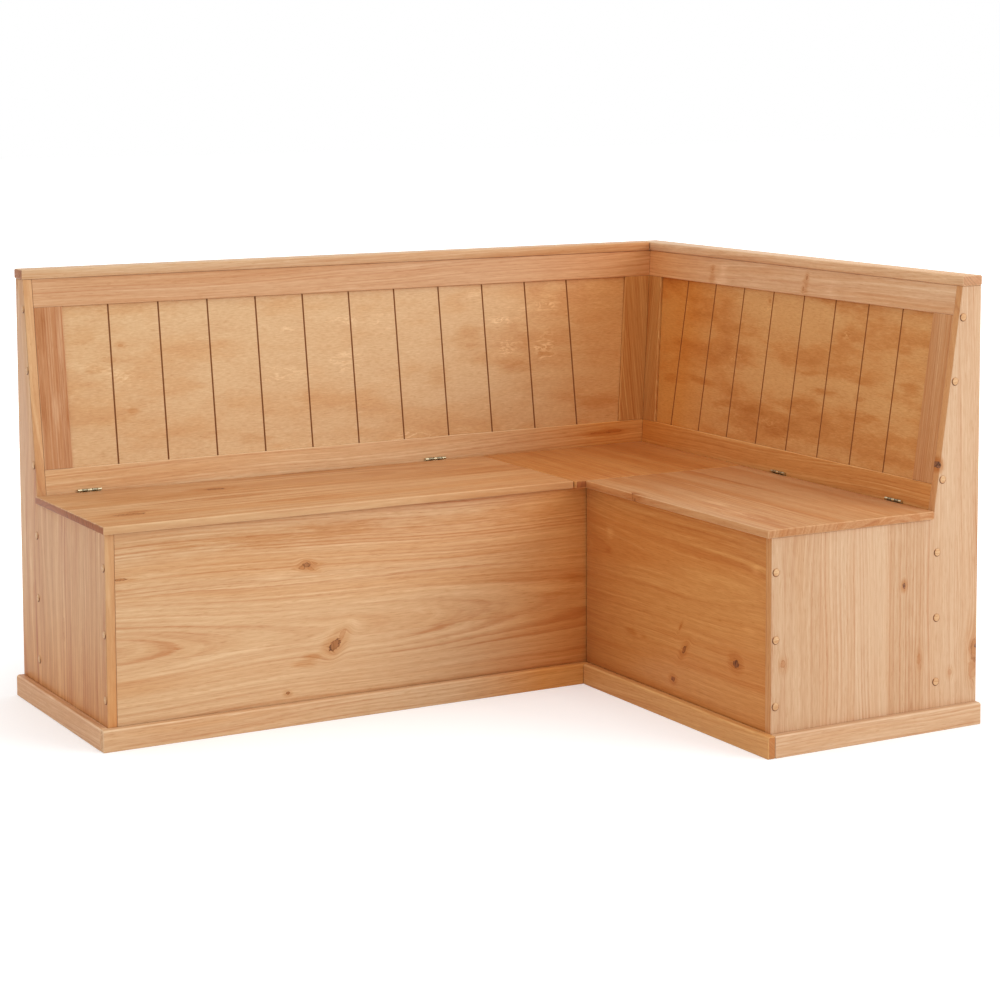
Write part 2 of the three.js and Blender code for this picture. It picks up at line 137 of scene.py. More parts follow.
class BenchSizes(bpy.types.PropertyGroup):
    """Sizes of what is modelled finer than the frame has it"""

    arris: length_property("Arris", "Rounding on the edges of the boards", 0.0009)
    groove_pitch: length_property("Groove pitch", "Width of one board of the grooved panels", 0.11)
    groove_width: length_property("Groove width", "Width of a V groove at the face", 0.0036)
    groove_depth: length_property("Groove depth", "Depth of a V groove", 0.003)
    long_grooves: count_property("Long grooves", "Grooves in the long wing's panel", 11)
    short_grooves: count_property("Short grooves", "Grooves in the short wing's panel", 8)
    plug_radius: length_property("Plug radius", "Radius of the wooden plugs", 0.008)
    plug_dome: length_property("Plug dome", "How far a plug stands proud", 0.002)
    plug_depth: length_property("Plug depth", "How deep a plug sits in its bore", 0.007)
    hinge_length: length_property("Hinge length", "Length of a butt hinge along its pin", 0.052)
    knuckle_radius: length_property("Knuckle radius", "Radius of the rolled knuckles", 0.003)
    pin_radius: length_property("Pin radius", "Radius of the hinge pin", 0.0013)
    knuckle_gap: length_property("Knuckle gap", "Gap between two knuckles", 0.0013)
    leaf_thickness: length_property("Leaf thickness", "Thickness of a hinge leaf", 0.0012)
    screw_radius: length_property("Screw radius", "Radius of the heads of the hinge screws", 0.0023)
    knuckles: count_property("Knuckles", "Knuckles of both leaves together", 5)
    screws: count_property("Screws", "Screws in a hinge leaf", 3)


def colour_property(name, description, value):
    return bpy.props.FloatVectorProperty(
        name=name, description=description, default=value, size=3, min=0, max=1, subtype="COLOR")


class BenchFinish(bpy.types.PropertyGroup):
    """Colours of the lacquered pine and of the metal"""

    early_wood: colour_property("Early wood", "Pale part of a growth ring", (0.7, 0.44, 0.235))
    late_wood: colour_property("Late wood", "Dark line of a growth ring", (0.5, 0.19, 0.065))
    warm_wood: colour_property("Warm wood", "Deeper patches of the lacquer", (0.64, 0.335, 0.145))
    # Pale wood also gives the arrises their painted highlight
    pale_wood: colour_property("Pale wood", "Rubbed edges and pale streaks", (0.82, 0.56, 0.32))
    shade: colour_property("Shade", "What a darker fibre takes from a colour", (0.74, 0.58, 0.42))
    end_grain: colour_property("End grain", "Sawn ends under the lacquer", (0.4, 0.145, 0.065))
    # Amber is partly the coat's own tone and partly painted bounce light and shade, most of all near the
    # inner corner
    amber: colour_property("Amber", "What a deeper coat of lacquer takes from a colour", (0.98, 0.66, 0.32))
    knot_wood: colour_property("Knot", "Heart of a knot", (0.17, 0.07, 0.032))
    # The groove colour also darkens the veneer's grooves and edges, and is the painted shade where two
    # boards meet
    groove_dark_and_joint_shade: colour_property("Groove", "Stain that pools in the grooves", (0.3, 0.115, 0.04))
    brass: colour_property("Brass", "Plating of the hinges", (0.78, 0.68, 0.45))
    roughness: bpy.props.FloatProperty(
        name="Roughness", description="Roughness of the lacquer", default=0.42, min=0, max=1)


class BenchStage(bpy.types.PropertyGroup):
    """Camera, lamps and floor"""

    lens: bpy.props.FloatProperty(
        name="Lens", description="Focal length on a 36 mm sensor", default=89.33, subtype="DISTANCE_CAMERA")
    frame_drop: bpy.props.FloatProperty(
        name="Frame drop", description="Vertical shift of the picture", default=-0.2)
    key_power: bpy.props.FloatProperty(
        name="Key power", description="Soft box at the front on the right", default=97, unit="POWER")
    top_power: bpy.props.FloatProperty(
        name="Top power", description="Soft box overhead", default=41, unit="POWER")
    room_level: bpy.props.FloatProperty(
        name="Room level", description="Light that the white room gives", default=0.82, min=0)


GROUPS = (("bench_sizes", BenchSizes), ("bench_finish", BenchFinish), ("bench_stage", BenchStage))


def sizes():
    return bpy.context.scene.bench_sizes


def finish():
    return bpy.context.scene.bench_finish


class Value:
    """What one output of a node gives. Arithmetic with it adds math nodes to the same tree."""

    def __init__(self, wires, socket):
        self.wires = wires
        self.socket = socket

    def __add__(self, other):
        return self.wires.maths("ADD", self, other)

    def __sub__(self, other):
        return self.wires.maths("SUBTRACT", self, other)

    def __rsub__(self, other):
        return self.wires.maths("SUBTRACT", other, self)

    def __mul__(self, other):
        return self.wires.maths("MULTIPLY", self, other)

    def __truediv__(self, other):
        return self.wires.maths("DIVIDE", self, other)

    def __pow__(self, other):
        return self.wires.maths("POWER", self, other)

    def __abs__(self):
        return self.wires.maths("ABSOLUTE", self)


class Outputs:
    """The outputs of one node, by number or name, or unpacked in their order."""

    def __init__(self, wires, made):
        self.wires = wires
        self.made = made

    def __getitem__(self, key):
        return Value(self.wires, self.made.outputs[key])


class Wires:
    """Adds nodes to one node tree. A node's input may be a number, a tuple, a colour or a Value."""

    def __init__(self, tree):
        self.tree = tree

    def feed(self, sockets, values):
        for key, value in values.items():
            socket = sockets[key]
            if isinstance(value, Value):
                self.tree.links.new(value.socket, socket)
            elif socket.type == "RGBA":
                socket.default_value = (*value, 1.0)
            else:
                socket.default_value = value

    def give(self, values):
        """Feeds the outputs of a node group, and ends it."""
        self.feed(self.tree.nodes.new("NodeGroupOutput").inputs, values)
        return self.tree

    def node(self, kind, values=None, **settings):
        made = self.tree.nodes.new(kind)
        for name, value in settings.items():
            setattr(made, name, value)
        self.feed(made.inputs, values or {})
        return Outputs(self, made)

    def maths(self, operation, first, second=0.0):
        return self.node("ShaderNodeMath", {0: first, 1: second}, operation=operation)[0]

    def distance(self, first, second):
        """How far a point is from the middle, from its places in two directions."""
        return self.maths("SQRT", first * first + second * second)

    def vector(self, operation, first, *others):
        values = dict(enumerate((first, *others)))
        return self.node("ShaderNodeVectorMath", values, operation=operation)[0]

    def scaled(self, vector, level):
        """A vector or colour times a number."""
        return self.node("ShaderNodeVectorMath", {0: vector, "Scale": level}, operation="SCALE")[0]

    def parts(self, vector):
        return self.node("ShaderNodeSeparateXYZ", {0: vector})

    def triple(self, first=0.0, second=0.0, third=0.0):
        return self.node("ShaderNodeCombineXYZ", {0: first, 1: second, 2: third})[0]

    def span(self, value, low, high, to_low=0.0, to_high=1.0):
        """Eases from one value to another while the input runs from low to high."""
        values = {0: value, 1: low, 2: high, 3: to_low, 4: to_high}
        return self.node("ShaderNodeMapRange", values, interpolation_type="SMOOTHSTEP")[0]

    def ramp(self, value, low, high):
        """Runs evenly from 0 to 1 while the input runs from low to high."""
        values = {0: value, 1: low, 2: high}
        return self.node("ShaderNodeMapRange", values, interpolation_type="LINEAR", clamp=True)[0]

    def noise(self, place, scales=None, detail=2.0, roughness=0.5, distortion=0.0):
        """Noise at a place, after other scales along its three directions where these are given."""
        if scales is not None:
            place = self.vector("MULTIPLY", place, scales)
        values = {"Vector": place, "Scale": 1.0, "Detail": detail,
                  "Roughness": roughness, "Distortion": distortion}
        return self.node("ShaderNodeTexNoise", values, noise_dimensions="3D")

    def mixed(self, factor, first, second, blend="MIX"):
        values = {0: factor, 6: first, 7: second}
        return self.node("ShaderNodeMix", values, data_type="RGBA", blend_type=blend)[2]


SOCKET_KINDS = {float: "Float", int: "Int", tuple: "Vector"}


def node_group(name, kind, inputs, outputs):
    """A new node group's wires and its inputs, which are given as defaults or as kinds of socket."""
    tree = bpy.data.node_groups.new(name, kind)
    for label, value in inputs.items():
        socket_kind = value if isinstance(value, str) else SOCKET_KINDS[type(value)]
        socket = tree.interface.new_socket(label, in_out="INPUT", socket_type="NodeSocket" + socket_kind)
        if socket_kind != value:
            socket.default_value = value
    for label, socket_kind in outputs.items():
        tree.interface.new_socket(label, in_out="OUTPUT", socket_type="NodeSocket" + socket_kind)
    wires = Wires(tree)
    return wires, wires.node("NodeGroupInput")


def shared_group(name, maker):
    return bpy.data.node_groups.get(name) or maker()


def group_node(wires, name, maker, values):
    return wires.node("ShaderNodeGroup", values, node_tree=shared_group(name, maker))


def new_material(name):
    """An empty material, its wires and the inputs of its shader."""
    material = bpy.data.materials.new(name)
    material.use_nodes = True
    tree = material.node_tree
    return material, Wires(tree), tree.nodes["Principled BSDF"].inputs


# Knots: the grain parts round the heart, which is given as a mask with a warm halo

KNOT_REACH = 0.42
KNOT_PARTING = 0.82


def knot_group():
    wires, given = node_group(
        "Knot in a board", "ShaderNodeTree",
        {"Board": "Vector", "Heart": 0.0, "Halo": 0.0, "Along": 0.0, "Across": 0.0, "Radius": 0.01,
         "Stretch": 1.4, "Darkness": 1.0, "Turn": 0.0},
        {"Board": "Vector", "Heart": "Float", "Halo": "Float"})
    part = wires.parts(given["Board"])
    along = part[0] - given["Along"]
    across = part[1] - given["Across"]
    cosine = wires.maths("COSINE", given["Turn"])
    sine = wires.maths("SINE", given["Turn"])
    share_along = (along * cosine + across * sine) / (given["Radius"] * given["Stretch"])
    share_across = (across * cosine - along * sine) / given["Radius"]
    plain = wires.distance(share_along, share_across)
    ragged = wires.noise(given["Board"], (150, 230, 90), detail=2.5)[0]
    distance = ragged * 1.1 + (plain - 0.55)
    reach = plain * KNOT_REACH
    near = wires.maths("EXPONENT", reach * reach * -1.0)
    parted = across * near * -KNOT_PARTING
    core = wires.span(distance, 1.05, 0.75, 0.0, 0.8)
    bark = wires.span(abs(distance - 0.86), 0.22, 0.05, 0.0, 0.5)
    heart = (core + bark) * given["Darkness"]
    halo = wires.span(distance, 3.6, 0.8) * given["Darkness"]
    return wires.give({
        "Board": wires.vector("ADD", given["Board"], wires.triple(0.0, parted)),
        "Heart": wires.maths("MAXIMUM", heart, given["Heart"]),
        "Halo": wires.maths("MAXIMUM", halo, given["Halo"])})


# Patches: soft places of a board where its figure changes


def patch_group():
    wires, given = node_group(
        "Patch on a board", "ShaderNodeTree",
        {"Board": "Vector", "Ragged": 0.5, "Mask": 0.0, "Along": 0.0, "Across": 0.0, "Radius": 0.02,
         "Stretch": 2.0, "Strength": 1.0},
        {"Mask": "Float"})
    part = wires.parts(given["Board"])
    along = (part[0] - given["Along"]) / (given["Radius"] * given["Stretch"])
    across = (part[1] - given["Across"]) / given["Radius"]
    distance = given["Ragged"] * 3.0 + (wires.distance(along, across) - 1.5)
    mask = wires.span(distance, 1.15, 0.1) * given["Strength"]
    return wires.give({"Mask": wires.maths("MAXIMUM", mask, given["Mask"])})


# Solid pine: growth rings are shells round a pith line that wanders along the board

SEED_STEPS = (3.17, 7.71, 5.39)
STAVE_START = 50.37
YEAR_CHANGE = 3.4


def own_noise(wires, given, scales, detail=2.0, roughness=0.5, distortion=0.0):
    """Noise at other scales along a board's three directions, moved by the board's seed."""
    offset = wires.scaled(SEED_STEPS, given["Seed"])
    place = wires.vector("MULTIPLY_ADD", given["Board"], scales, offset)
    return wires.noise(place, None, detail, roughness, distortion)


def centred(value, reach):
    """A value between 0 and 1 as one between minus and plus half of a reach."""
    return (value - 0.5) * reach


def chance_of(wires, *numbers):
    """A random number for each triple of whole numbers."""
    key = wires.triple(*numbers)
    return wires.node("ShaderNodeTexWhiteNoise", {"Vector": key}, noise_dimensions="3D")["Value"]


def pine_group():
    wires, given = node_group(
        "Pine growth rings", "ShaderNodeTree",
        {"Board": "Vector", "Seed": 1.0, "Pith Across": 0.1, "Pith Depth": 0.07, "Tilt": 0.03,
         "Ring": 0.006, "Wander": 0.05, "Stave": 5.0, "Spread": 0.0},
        dict.fromkeys(("Late", "Streak", "Flame", "Stave Tone", "Seam"), "Float"))
    seed, spread = given["Seed"], given["Spread"]
    part = wires.parts(given["Board"])

    # Each stave that the board is glued from comes from its own place in the log
    stave_place = part[1] / given["Stave"] + STAVE_START
    stave = wires.maths("FLOOR", stave_place)
    turn_across = centred(chance_of(wires, stave, seed, 1.0), spread)
    turn_depth = chance_of(wires, stave, seed, 2.0) * spread
    turn_along = chance_of(wires, stave, seed, 3.0) * spread
    along = turn_along * 30.0 + part[0]

    # The way to the pith, which wanders slowly, warps and ripples
    slow_place = wires.triple(seed * 7.3 + along * 1.3, seed)
    slow = wires.parts(wires.noise(slow_place, detail=1.0)[1])
    warp = wires.parts(own_noise(wires, given, (1.5, 6, 6))[1])
    ripple = wires.parts(own_noise(wires, given, (6, 40, 40))[1])
    across = part[1] - given["Pith Across"] + turn_across
    depth = part[2] + (turn_depth * 0.5 + given["Pith Depth"])
    depth = along * given["Tilt"] + depth
    for source, reach in ((slow, given["Wander"]), (warp, 0.007), (ripple, 0.0009)):
        across += centred(source[0], reach)
        depth += centred(source[1], reach)
    radius = wires.distance(across, depth)

    # Rings: late wood darkens through each year and breaks off, stronger in some years than in others
    years = wires.noise(wires.triple(radius * 26.0, seed))[0]
    frayed = own_noise(wires, given, (30, 230, 230))[0]
    count = frayed * 0.34 + (years * YEAR_CHANGE + radius / given["Ring"])
    phase = wires.maths("FRACT", count)
    rise = wires.span(phase, 0.02, 0.86) ** 2.2
    fall = wires.span(phase, 1.0, 0.88)
    strength = chance_of(wires, wires.maths("FLOOR", count), seed, stave) ** 1.5
    faint = own_noise(wires, given, (1.7, 9, 9), detail=1.5)[0]
    late = rise * fall * (strength * 0.85 + 0.15) * wires.span(faint, 0.32, 0.62, 0.35, 1.0)

    # Streaks and flames that follow the rings, and the seams between the staves
    flow = wires.triple(seed * 3.7 + along * 2.2, radius / given["Ring"] * 1.6, across * 14.0)
    broad = wires.triple(seed * 5.9 + along * 1.1, radius * 30.0, across * 9.0)
    edge = abs(wires.maths("FRACT", stave_place) - 0.5)
    gap = (0.5 - edge) * given["Stave"]
    tone = centred(chance_of(wires, stave, seed, 4.0), 1.0)
    return wires.give({
        "Late": late,
        "Streak": wires.noise(flow, detail=4.0, roughness=0.66)[0],
        "Flame": wires.noise(broad, detail=2.5)[0],
        "Stave Tone": tone * wires.span(spread, 0.0, 0.02),
        "Seam": wires.span(gap, 0.0009, 0.0002)})


# Veneer of the grooved panels: peeled from the log, so that its figure is drifting clouds and curls


def veneer_group():
    wires, given = node_group(
        "Peeled veneer", "ShaderNodeTree",
        {"Board": "Vector", "Seed": 1.0, "Contours": 9.0, "Curly": 0.0},
        dict.fromkeys(("Late", "Streak", "Flame", "Curl"), "Float"))
    bend = own_noise(wires, given, (1.7, 5.0, 2), distortion=0.4)[0]
    sweep = own_noise(wires, given, (0.8, 2.6, 1), detail=1.0)[0]
    height = sweep * 1.2 + bend
    frayed = own_noise(wires, given, (30, 150, 90), detail=3.0)[0]
    phase = wires.maths("FRACT", frayed * 0.5 + height * given["Contours"])
    band = wires.span(phase, 0.3, 0.85) * wires.span(phase, 1.0, 0.9)
    faint = own_noise(wires, given, (2.6, 7, 3), detail=1.5)[0]
    fine = own_noise(wires, given, (75, 330, 90), roughness=0.6)[0]
    soft = own_noise(wires, given, (11, 42, 20), detail=4.0, roughness=0.65)[0]
    flame = own_noise(wires, given, (2.6, 9, 6), detail=4.0, roughness=0.62)[0]
    curls = own_noise(wires, given, (19, 58, 9), detail=3.0, roughness=0.6, distortion=0.9)[0]
    stroke = wires.span(abs(curls - 0.5), 0.055, 0.02, 0.0, 0.78)
    rare = own_noise(wires, given, (3.5, 9, 3), detail=1.0)[0]
    place = wires.maths("MAXIMUM", given["Curly"], wires.span(rare, 0.66, 0.74, 0.0, 0.7))
    return wires.give({
        "Late": band * wires.span(faint, 0.5, 0.72, 0.04, 0.42),
        "Streak": centred(soft, 0.6) + (centred(fine, 0.55) + 0.49),
        "Flame": centred(flame, 1.5) + 0.5,
        "Curl": stroke * place})


# Finish: colour, gloss and relief from the figure, the knots, the ends and the edges, with painted light
# and shade

# The ambient occlusion that the painted joint shade is read from: how far it looks, and with how many
# samples
JOINT_REACH = 0.0035
JOINT_SAMPLES = 4


def finish_group():
    look = finish()
    wires, given = node_group(
        "Lacquered pine", "ShaderNodeTree",
        {"Board": "Vector", "Facing": "Vector", "Seed": 1.0, "Late": 0.0, "Streak": 0.5, "Flame": 0.5,
         "Curl": 0.0, "Heart": 0.0, "Halo": 0.0, "Stave Tone": 0.0, "Seam": 0.0, "Contrast": 0.75,
         "Streaks": 1.0, "Warmth": 0.2, "Amber": 0.0, "Amber Rise": 0.0, "Length": 1.0, "Tint": (1, 1, 1),
         "Edge Wear": 0.5, "Groove Darkening": 0.0, "End Darkness": 0.8, "Flames": 1.0,
         "Fibre": (26, 420, 420), "Side Paleness": 0.0, "Side Amber": 0.0, "Joint Shade": 1.0},
        {"Colour": "Color", "Roughness": "Float", "Height": "Float"})
    late, streak, flame = given["Late"], given["Streak"], given["Flame"]

    # The wood's own colour
    cloud = own_noise(wires, given, (1.5, 7, 5), detail=2.5)[0]
    warm = wires.span(cloud, 0.36, 0.72, 0.0, 0.35) + given["Warmth"]
    warm = wires.span(flame, 0.42, 0.68, 0.0, 0.62) * given["Flames"] + warm
    colour = wires.mixed(given["Halo"] * 0.9 + warm, look.early_wood, look.warm_wood)
    pale = wires.span(streak, 0.5, 0.72, 0.0, 0.6) * given["Streaks"]
    colour = wires.mixed(pale, colour, look.pale_wood)
    colour = wires.mixed(given["Curl"], colour, wires.scaled(look.pale_wood, 1.08))
    dark = wires.span(streak, 0.5, 0.3, 0.0, 0.36) * given["Streaks"]
    colour = wires.mixed(late * given["Contrast"] + dark, colour, look.late_wood)

    # Fibres, resin ducts, the staves' own tones and the halos of knots darken it
    fibre = own_noise(wires, given, given["Fibre"], roughness=0.6)[0]
    duct = own_noise(wires, given, (55, 900, 900), detail=0.0)[0]
    shade = wires.span(fibre, 0.72, 0.28, 0.0, 0.38) + wires.span(duct, 0.68, 0.78, 0.0, 0.4)
    shade = given["Stave Tone"] * -0.3 + shade
    shade = given["Halo"] * 0.35 + shade
    deeper = wires.maths("MAXIMUM", given["Flames"] - 1.0, 0.0)
    shade = wires.span(flame, 0.52, 0.85) * deeper + shade
    colour = wires.mixed(shade, colour, look.shade, blend="MULTIPLY")

    # Ends and sides of the board, the sides partly pale and partly in painted shade, and its arrises:
    # partly rubbed pale, partly a painted highlight, on sawn boards, and darker towards the groove colour
    # on the veneer
    facing = wires.parts(wires.vector("ABSOLUTE", given["Facing"]))
    ends = wires.span(facing[0], 0.6, 0.85)
    sides = wires.span(facing[1], 0.6, 0.85)
    widest = wires.maths("MAXIMUM", facing[0], wires.maths("MAXIMUM", facing[1], facing[2]))
    arris = wires.span(widest, 0.985, 0.86)
    end_colour = wires.mixed(late * 0.9, look.end_grain, wires.scaled(look.end_grain, 0.4))
    colour = wires.mixed(ends * given["End Darkness"], colour, end_colour)
    colour = wires.mixed(sides * given["Side Paleness"], colour, look.pale_wood)
    # Painted shade on the board's sides, deepening them towards amber
    colour = wires.mixed(sides * given["Side Amber"], colour, look.amber, blend="MULTIPLY")
    # Pale arrises: partly rubbed wear, partly a painted highlight
    rubbed = own_noise(wires, given, (14, 60, 60))[0]
    worn_and_highlit = arris * given["Edge Wear"] * wires.span(rubbed, 0.34, 0.6, 0.35, 1.0)
    colour = wires.mixed(worn_and_highlit, colour, look.pale_wood)
    # On the veneer, the groove walls and eased edges darken towards the groove colour
    colour = wires.mixed(arris * given["Groove Darkening"], colour, look.groove_dark_and_joint_shade)

    # Knots, the seams between the staves, and the amber coat: partly its own tone, partly painted bounce
    # light and shade, deeper towards one end as painted shade
    streaked = wires.noise(given["Board"], (260, 420, 200))[0]
    knot = wires.scaled(look.knot_wood, wires.span(streaked, 0.3, 0.7, 0.5, 2.0))
    stain = wires.vector("MULTIPLY", look.late_wood, (0.95, 0.95, 0.85))
    colour = wires.mixed(given["Heart"] * 1.3, colour, stain)
    colour = wires.mixed(wires.span(given["Heart"], 0.4, 1.05), colour, knot)
    colour = wires.mixed(given["Seam"] * 0.3, colour, look.late_wood)
    inward = wires.parts(given["Board"])[0] / given["Length"] + 0.5
    corner = wires.span(inward, 0.58, 1.0) ** 1.5
    amber = given["Amber Rise"] * corner + given["Amber"]
    colour = wires.mixed(amber, colour, look.amber, blend="MULTIPLY")

    # Painted shade: the colour darkens towards the groove colour where ambient occlusion finds another
    # board near, as a dark line where two boards meet
    clear = wires.node("ShaderNodeAmbientOcclusion", {"Distance": JOINT_REACH}, samples=JOINT_SAMPLES)["AO"]
    painted_joint_shade = wires.span(clear, 0.75, 0.15, 0.0, 0.5) * given["Joint Shade"]
    colour = wires.mixed(painted_joint_shade, colour, look.groove_dark_and_joint_shade)
    return wires.give({
        "Colour": wires.vector("MULTIPLY", colour, given["Tint"]),
        "Roughness": ends * 0.16 + (late * -0.06 + look.roughness),
        "Height": given["Heart"] * 0.2 + (late * 0.6 + fibre * 0.35)})


# A figure: where a board is cut from the log, how strongly its wood shows, how its coat has aged, and how
# much painted light and shade it carries
Figure = namedtuple(
    "Figure", "seed pith_across pith_depth tilt ring wander stave spread contrast streaks warmth amber "
    "amber_rise edge_wear end_darkness flames fibre side_paleness side_amber joint_shade")
PLAIN = Figure(
    seed=1, pith_across=0.12, pith_depth=0.07, tilt=0.03, ring=0.006, wander=0.05, stave=5.0, spread=0.0,
    contrast=0.75, streaks=1.0, warmth=0.0, amber=0.0, amber_rise=0.0, edge_wear=0.5, end_darkness=0.8,
    flames=1.0, fibre=(26, 420, 420), side_paleness=0.0, side_amber=0.0, joint_shade=1.0)

# Knots by board: a point of the bench, the radius, how far drawn out, how dark, and the turn
KNOTS = {
    "left_end_board": (
        (END_LEFT, 0.334, 0.186, 0.005, 5.0, 0.35, 0), (END_LEFT, 0.512, 0.233, 0.004, 4.0, 0.3, 0)),
    "right_end_board": (
        (0.6037, END_RIGHT, 0.2919, 0.0036, 1.6, 1.25, 0),
        (0.3192, END_RIGHT, 0.1739, 0.006, 1.3, 0.5, 0), (0.781, END_RIGHT, 0.146, 0.0105, 2.5, 0.55, 0),
        (0.777, END_RIGHT, 0.106, 0.006, 3.0, 0.3, 0), (0.784, END_RIGHT, 0.152, 0.0045, 1.8, 1.1, 0),
        (0.783, END_RIGHT, 0.098, 0.003, 2.0, 0.8, 0), (0.6425, END_RIGHT, 0.144, 0.004, 3.0, 0.4, 0),
        (0.7198, END_RIGHT, 0.1087, 0.005, 1.2, 0.3, 0), (0.6875, END_RIGHT, 0.5205, 0.004, 1.5, 1.8, 0)),
    "long_front_board": (
        (-0.2915, LONG_FRONT, 0.1475, 0.009, 1.8, 0.85, 0.75),
        (-0.2745, LONG_FRONT, 0.158, 0.005, 2.4, 0.35, 0.9),
        (-0.3505, LONG_FRONT, 0.3144, 0.0052, 1.4, 0.85, 0),
        (-0.342, LONG_FRONT, 0.309, 0.003, 3.2, 0.5, -0.5),
        (-0.3948, LONG_FRONT, 0.0628, 0.003, 1.5, 0.8, 0),
        (-0.362, LONG_FRONT, 0.311, 0.0022, 3.5, 0.6, 0),
        (-0.333, LONG_FRONT, 0.3145, 0.002, 3.5, 0.5, 0),
        (-0.739, LONG_FRONT, 0.3257, 0.0026, 5.5, 0.75, 0)),
    "short_front_board": (
        (SHORT_FRONT, -0.4564, 0.1528, 0.0078, 1.25, 1.5, 0),
        (SHORT_FRONT, -0.2379, 0.0764, 0.0048, 1.3, 1.0, 0),
        (SHORT_FRONT, -0.2771, 0.1432, 0.0042, 2.8, 0.85, 0.9),
        (SHORT_FRONT, -0.2635, 0.186, 0.002, 4.0, 0.5, 1.0)),
    "long_seat_lid": (
        (-0.685, 0.1835, SEAT_TOP, 0.009, 4.0, 0.75, 0), (-0.66, 0.2, SEAT_TOP, 0.007, 3.0, 0.6, 0),
        (-0.1462, 0.4664, SEAT_TOP, 0.008, 12.0, 0.6, 0), (-0.4287, 0.3697, SEAT_TOP, 0.01, 2.2, 0.8, 0),
        (-0.4281, 0.265, SEAT_TOP, 0.011, 6.0, 0.3, 0), (-0.3061, 0.1733, SEAT_TOP, 0.014, 5.0, 0.3, 0)),
    "short_seat_lid": (
        (0.2825, -0.1146, SEAT_TOP, 0.004, 3.5, 0.7, 0), (0.34, -0.47, SEAT_TOP, 0.012, 5.0, 0.25, 0)),
    "short_top_rail": (
        (0.74, 0.28, 0.84, 0.004, 0.6, 0.5, 0), (0.74, -0.07, 0.845, 0.005, 0.6, 0.7, 0),
        (0.74, -0.062, 0.82, 0.005, 0.6, 0.6, 0)),
    "long_bottom_rail": (
        (0.5662, 0.4827, 0.4585, 0.0022, 12.0, 0.6, 0), (0.6066, 0.4827, 0.4595, 0.002, 12.0, 0.6, 0)),
    "long_grooved_panel": (
        (-0.593, 0.52, 0.693, 0.006, 2.6, 0.16, 0), (-0.569, 0.52, 0.722, 0.003, 2.2, 0.35, 0),
        (0.250, 0.52, 0.675, 0.004, 2.4, 0.2, 0), (0.540, 0.52, 0.715, 0.004, 2.4, 0.18, 0)),
    "short_grooved_panel": (
        (0.72, -0.2915, 0.613, 0.006, 1.4, 0.3, 0), (0.72, 0.059, 0.788, 0.0042, 1.0, 0.35, 0)),
}

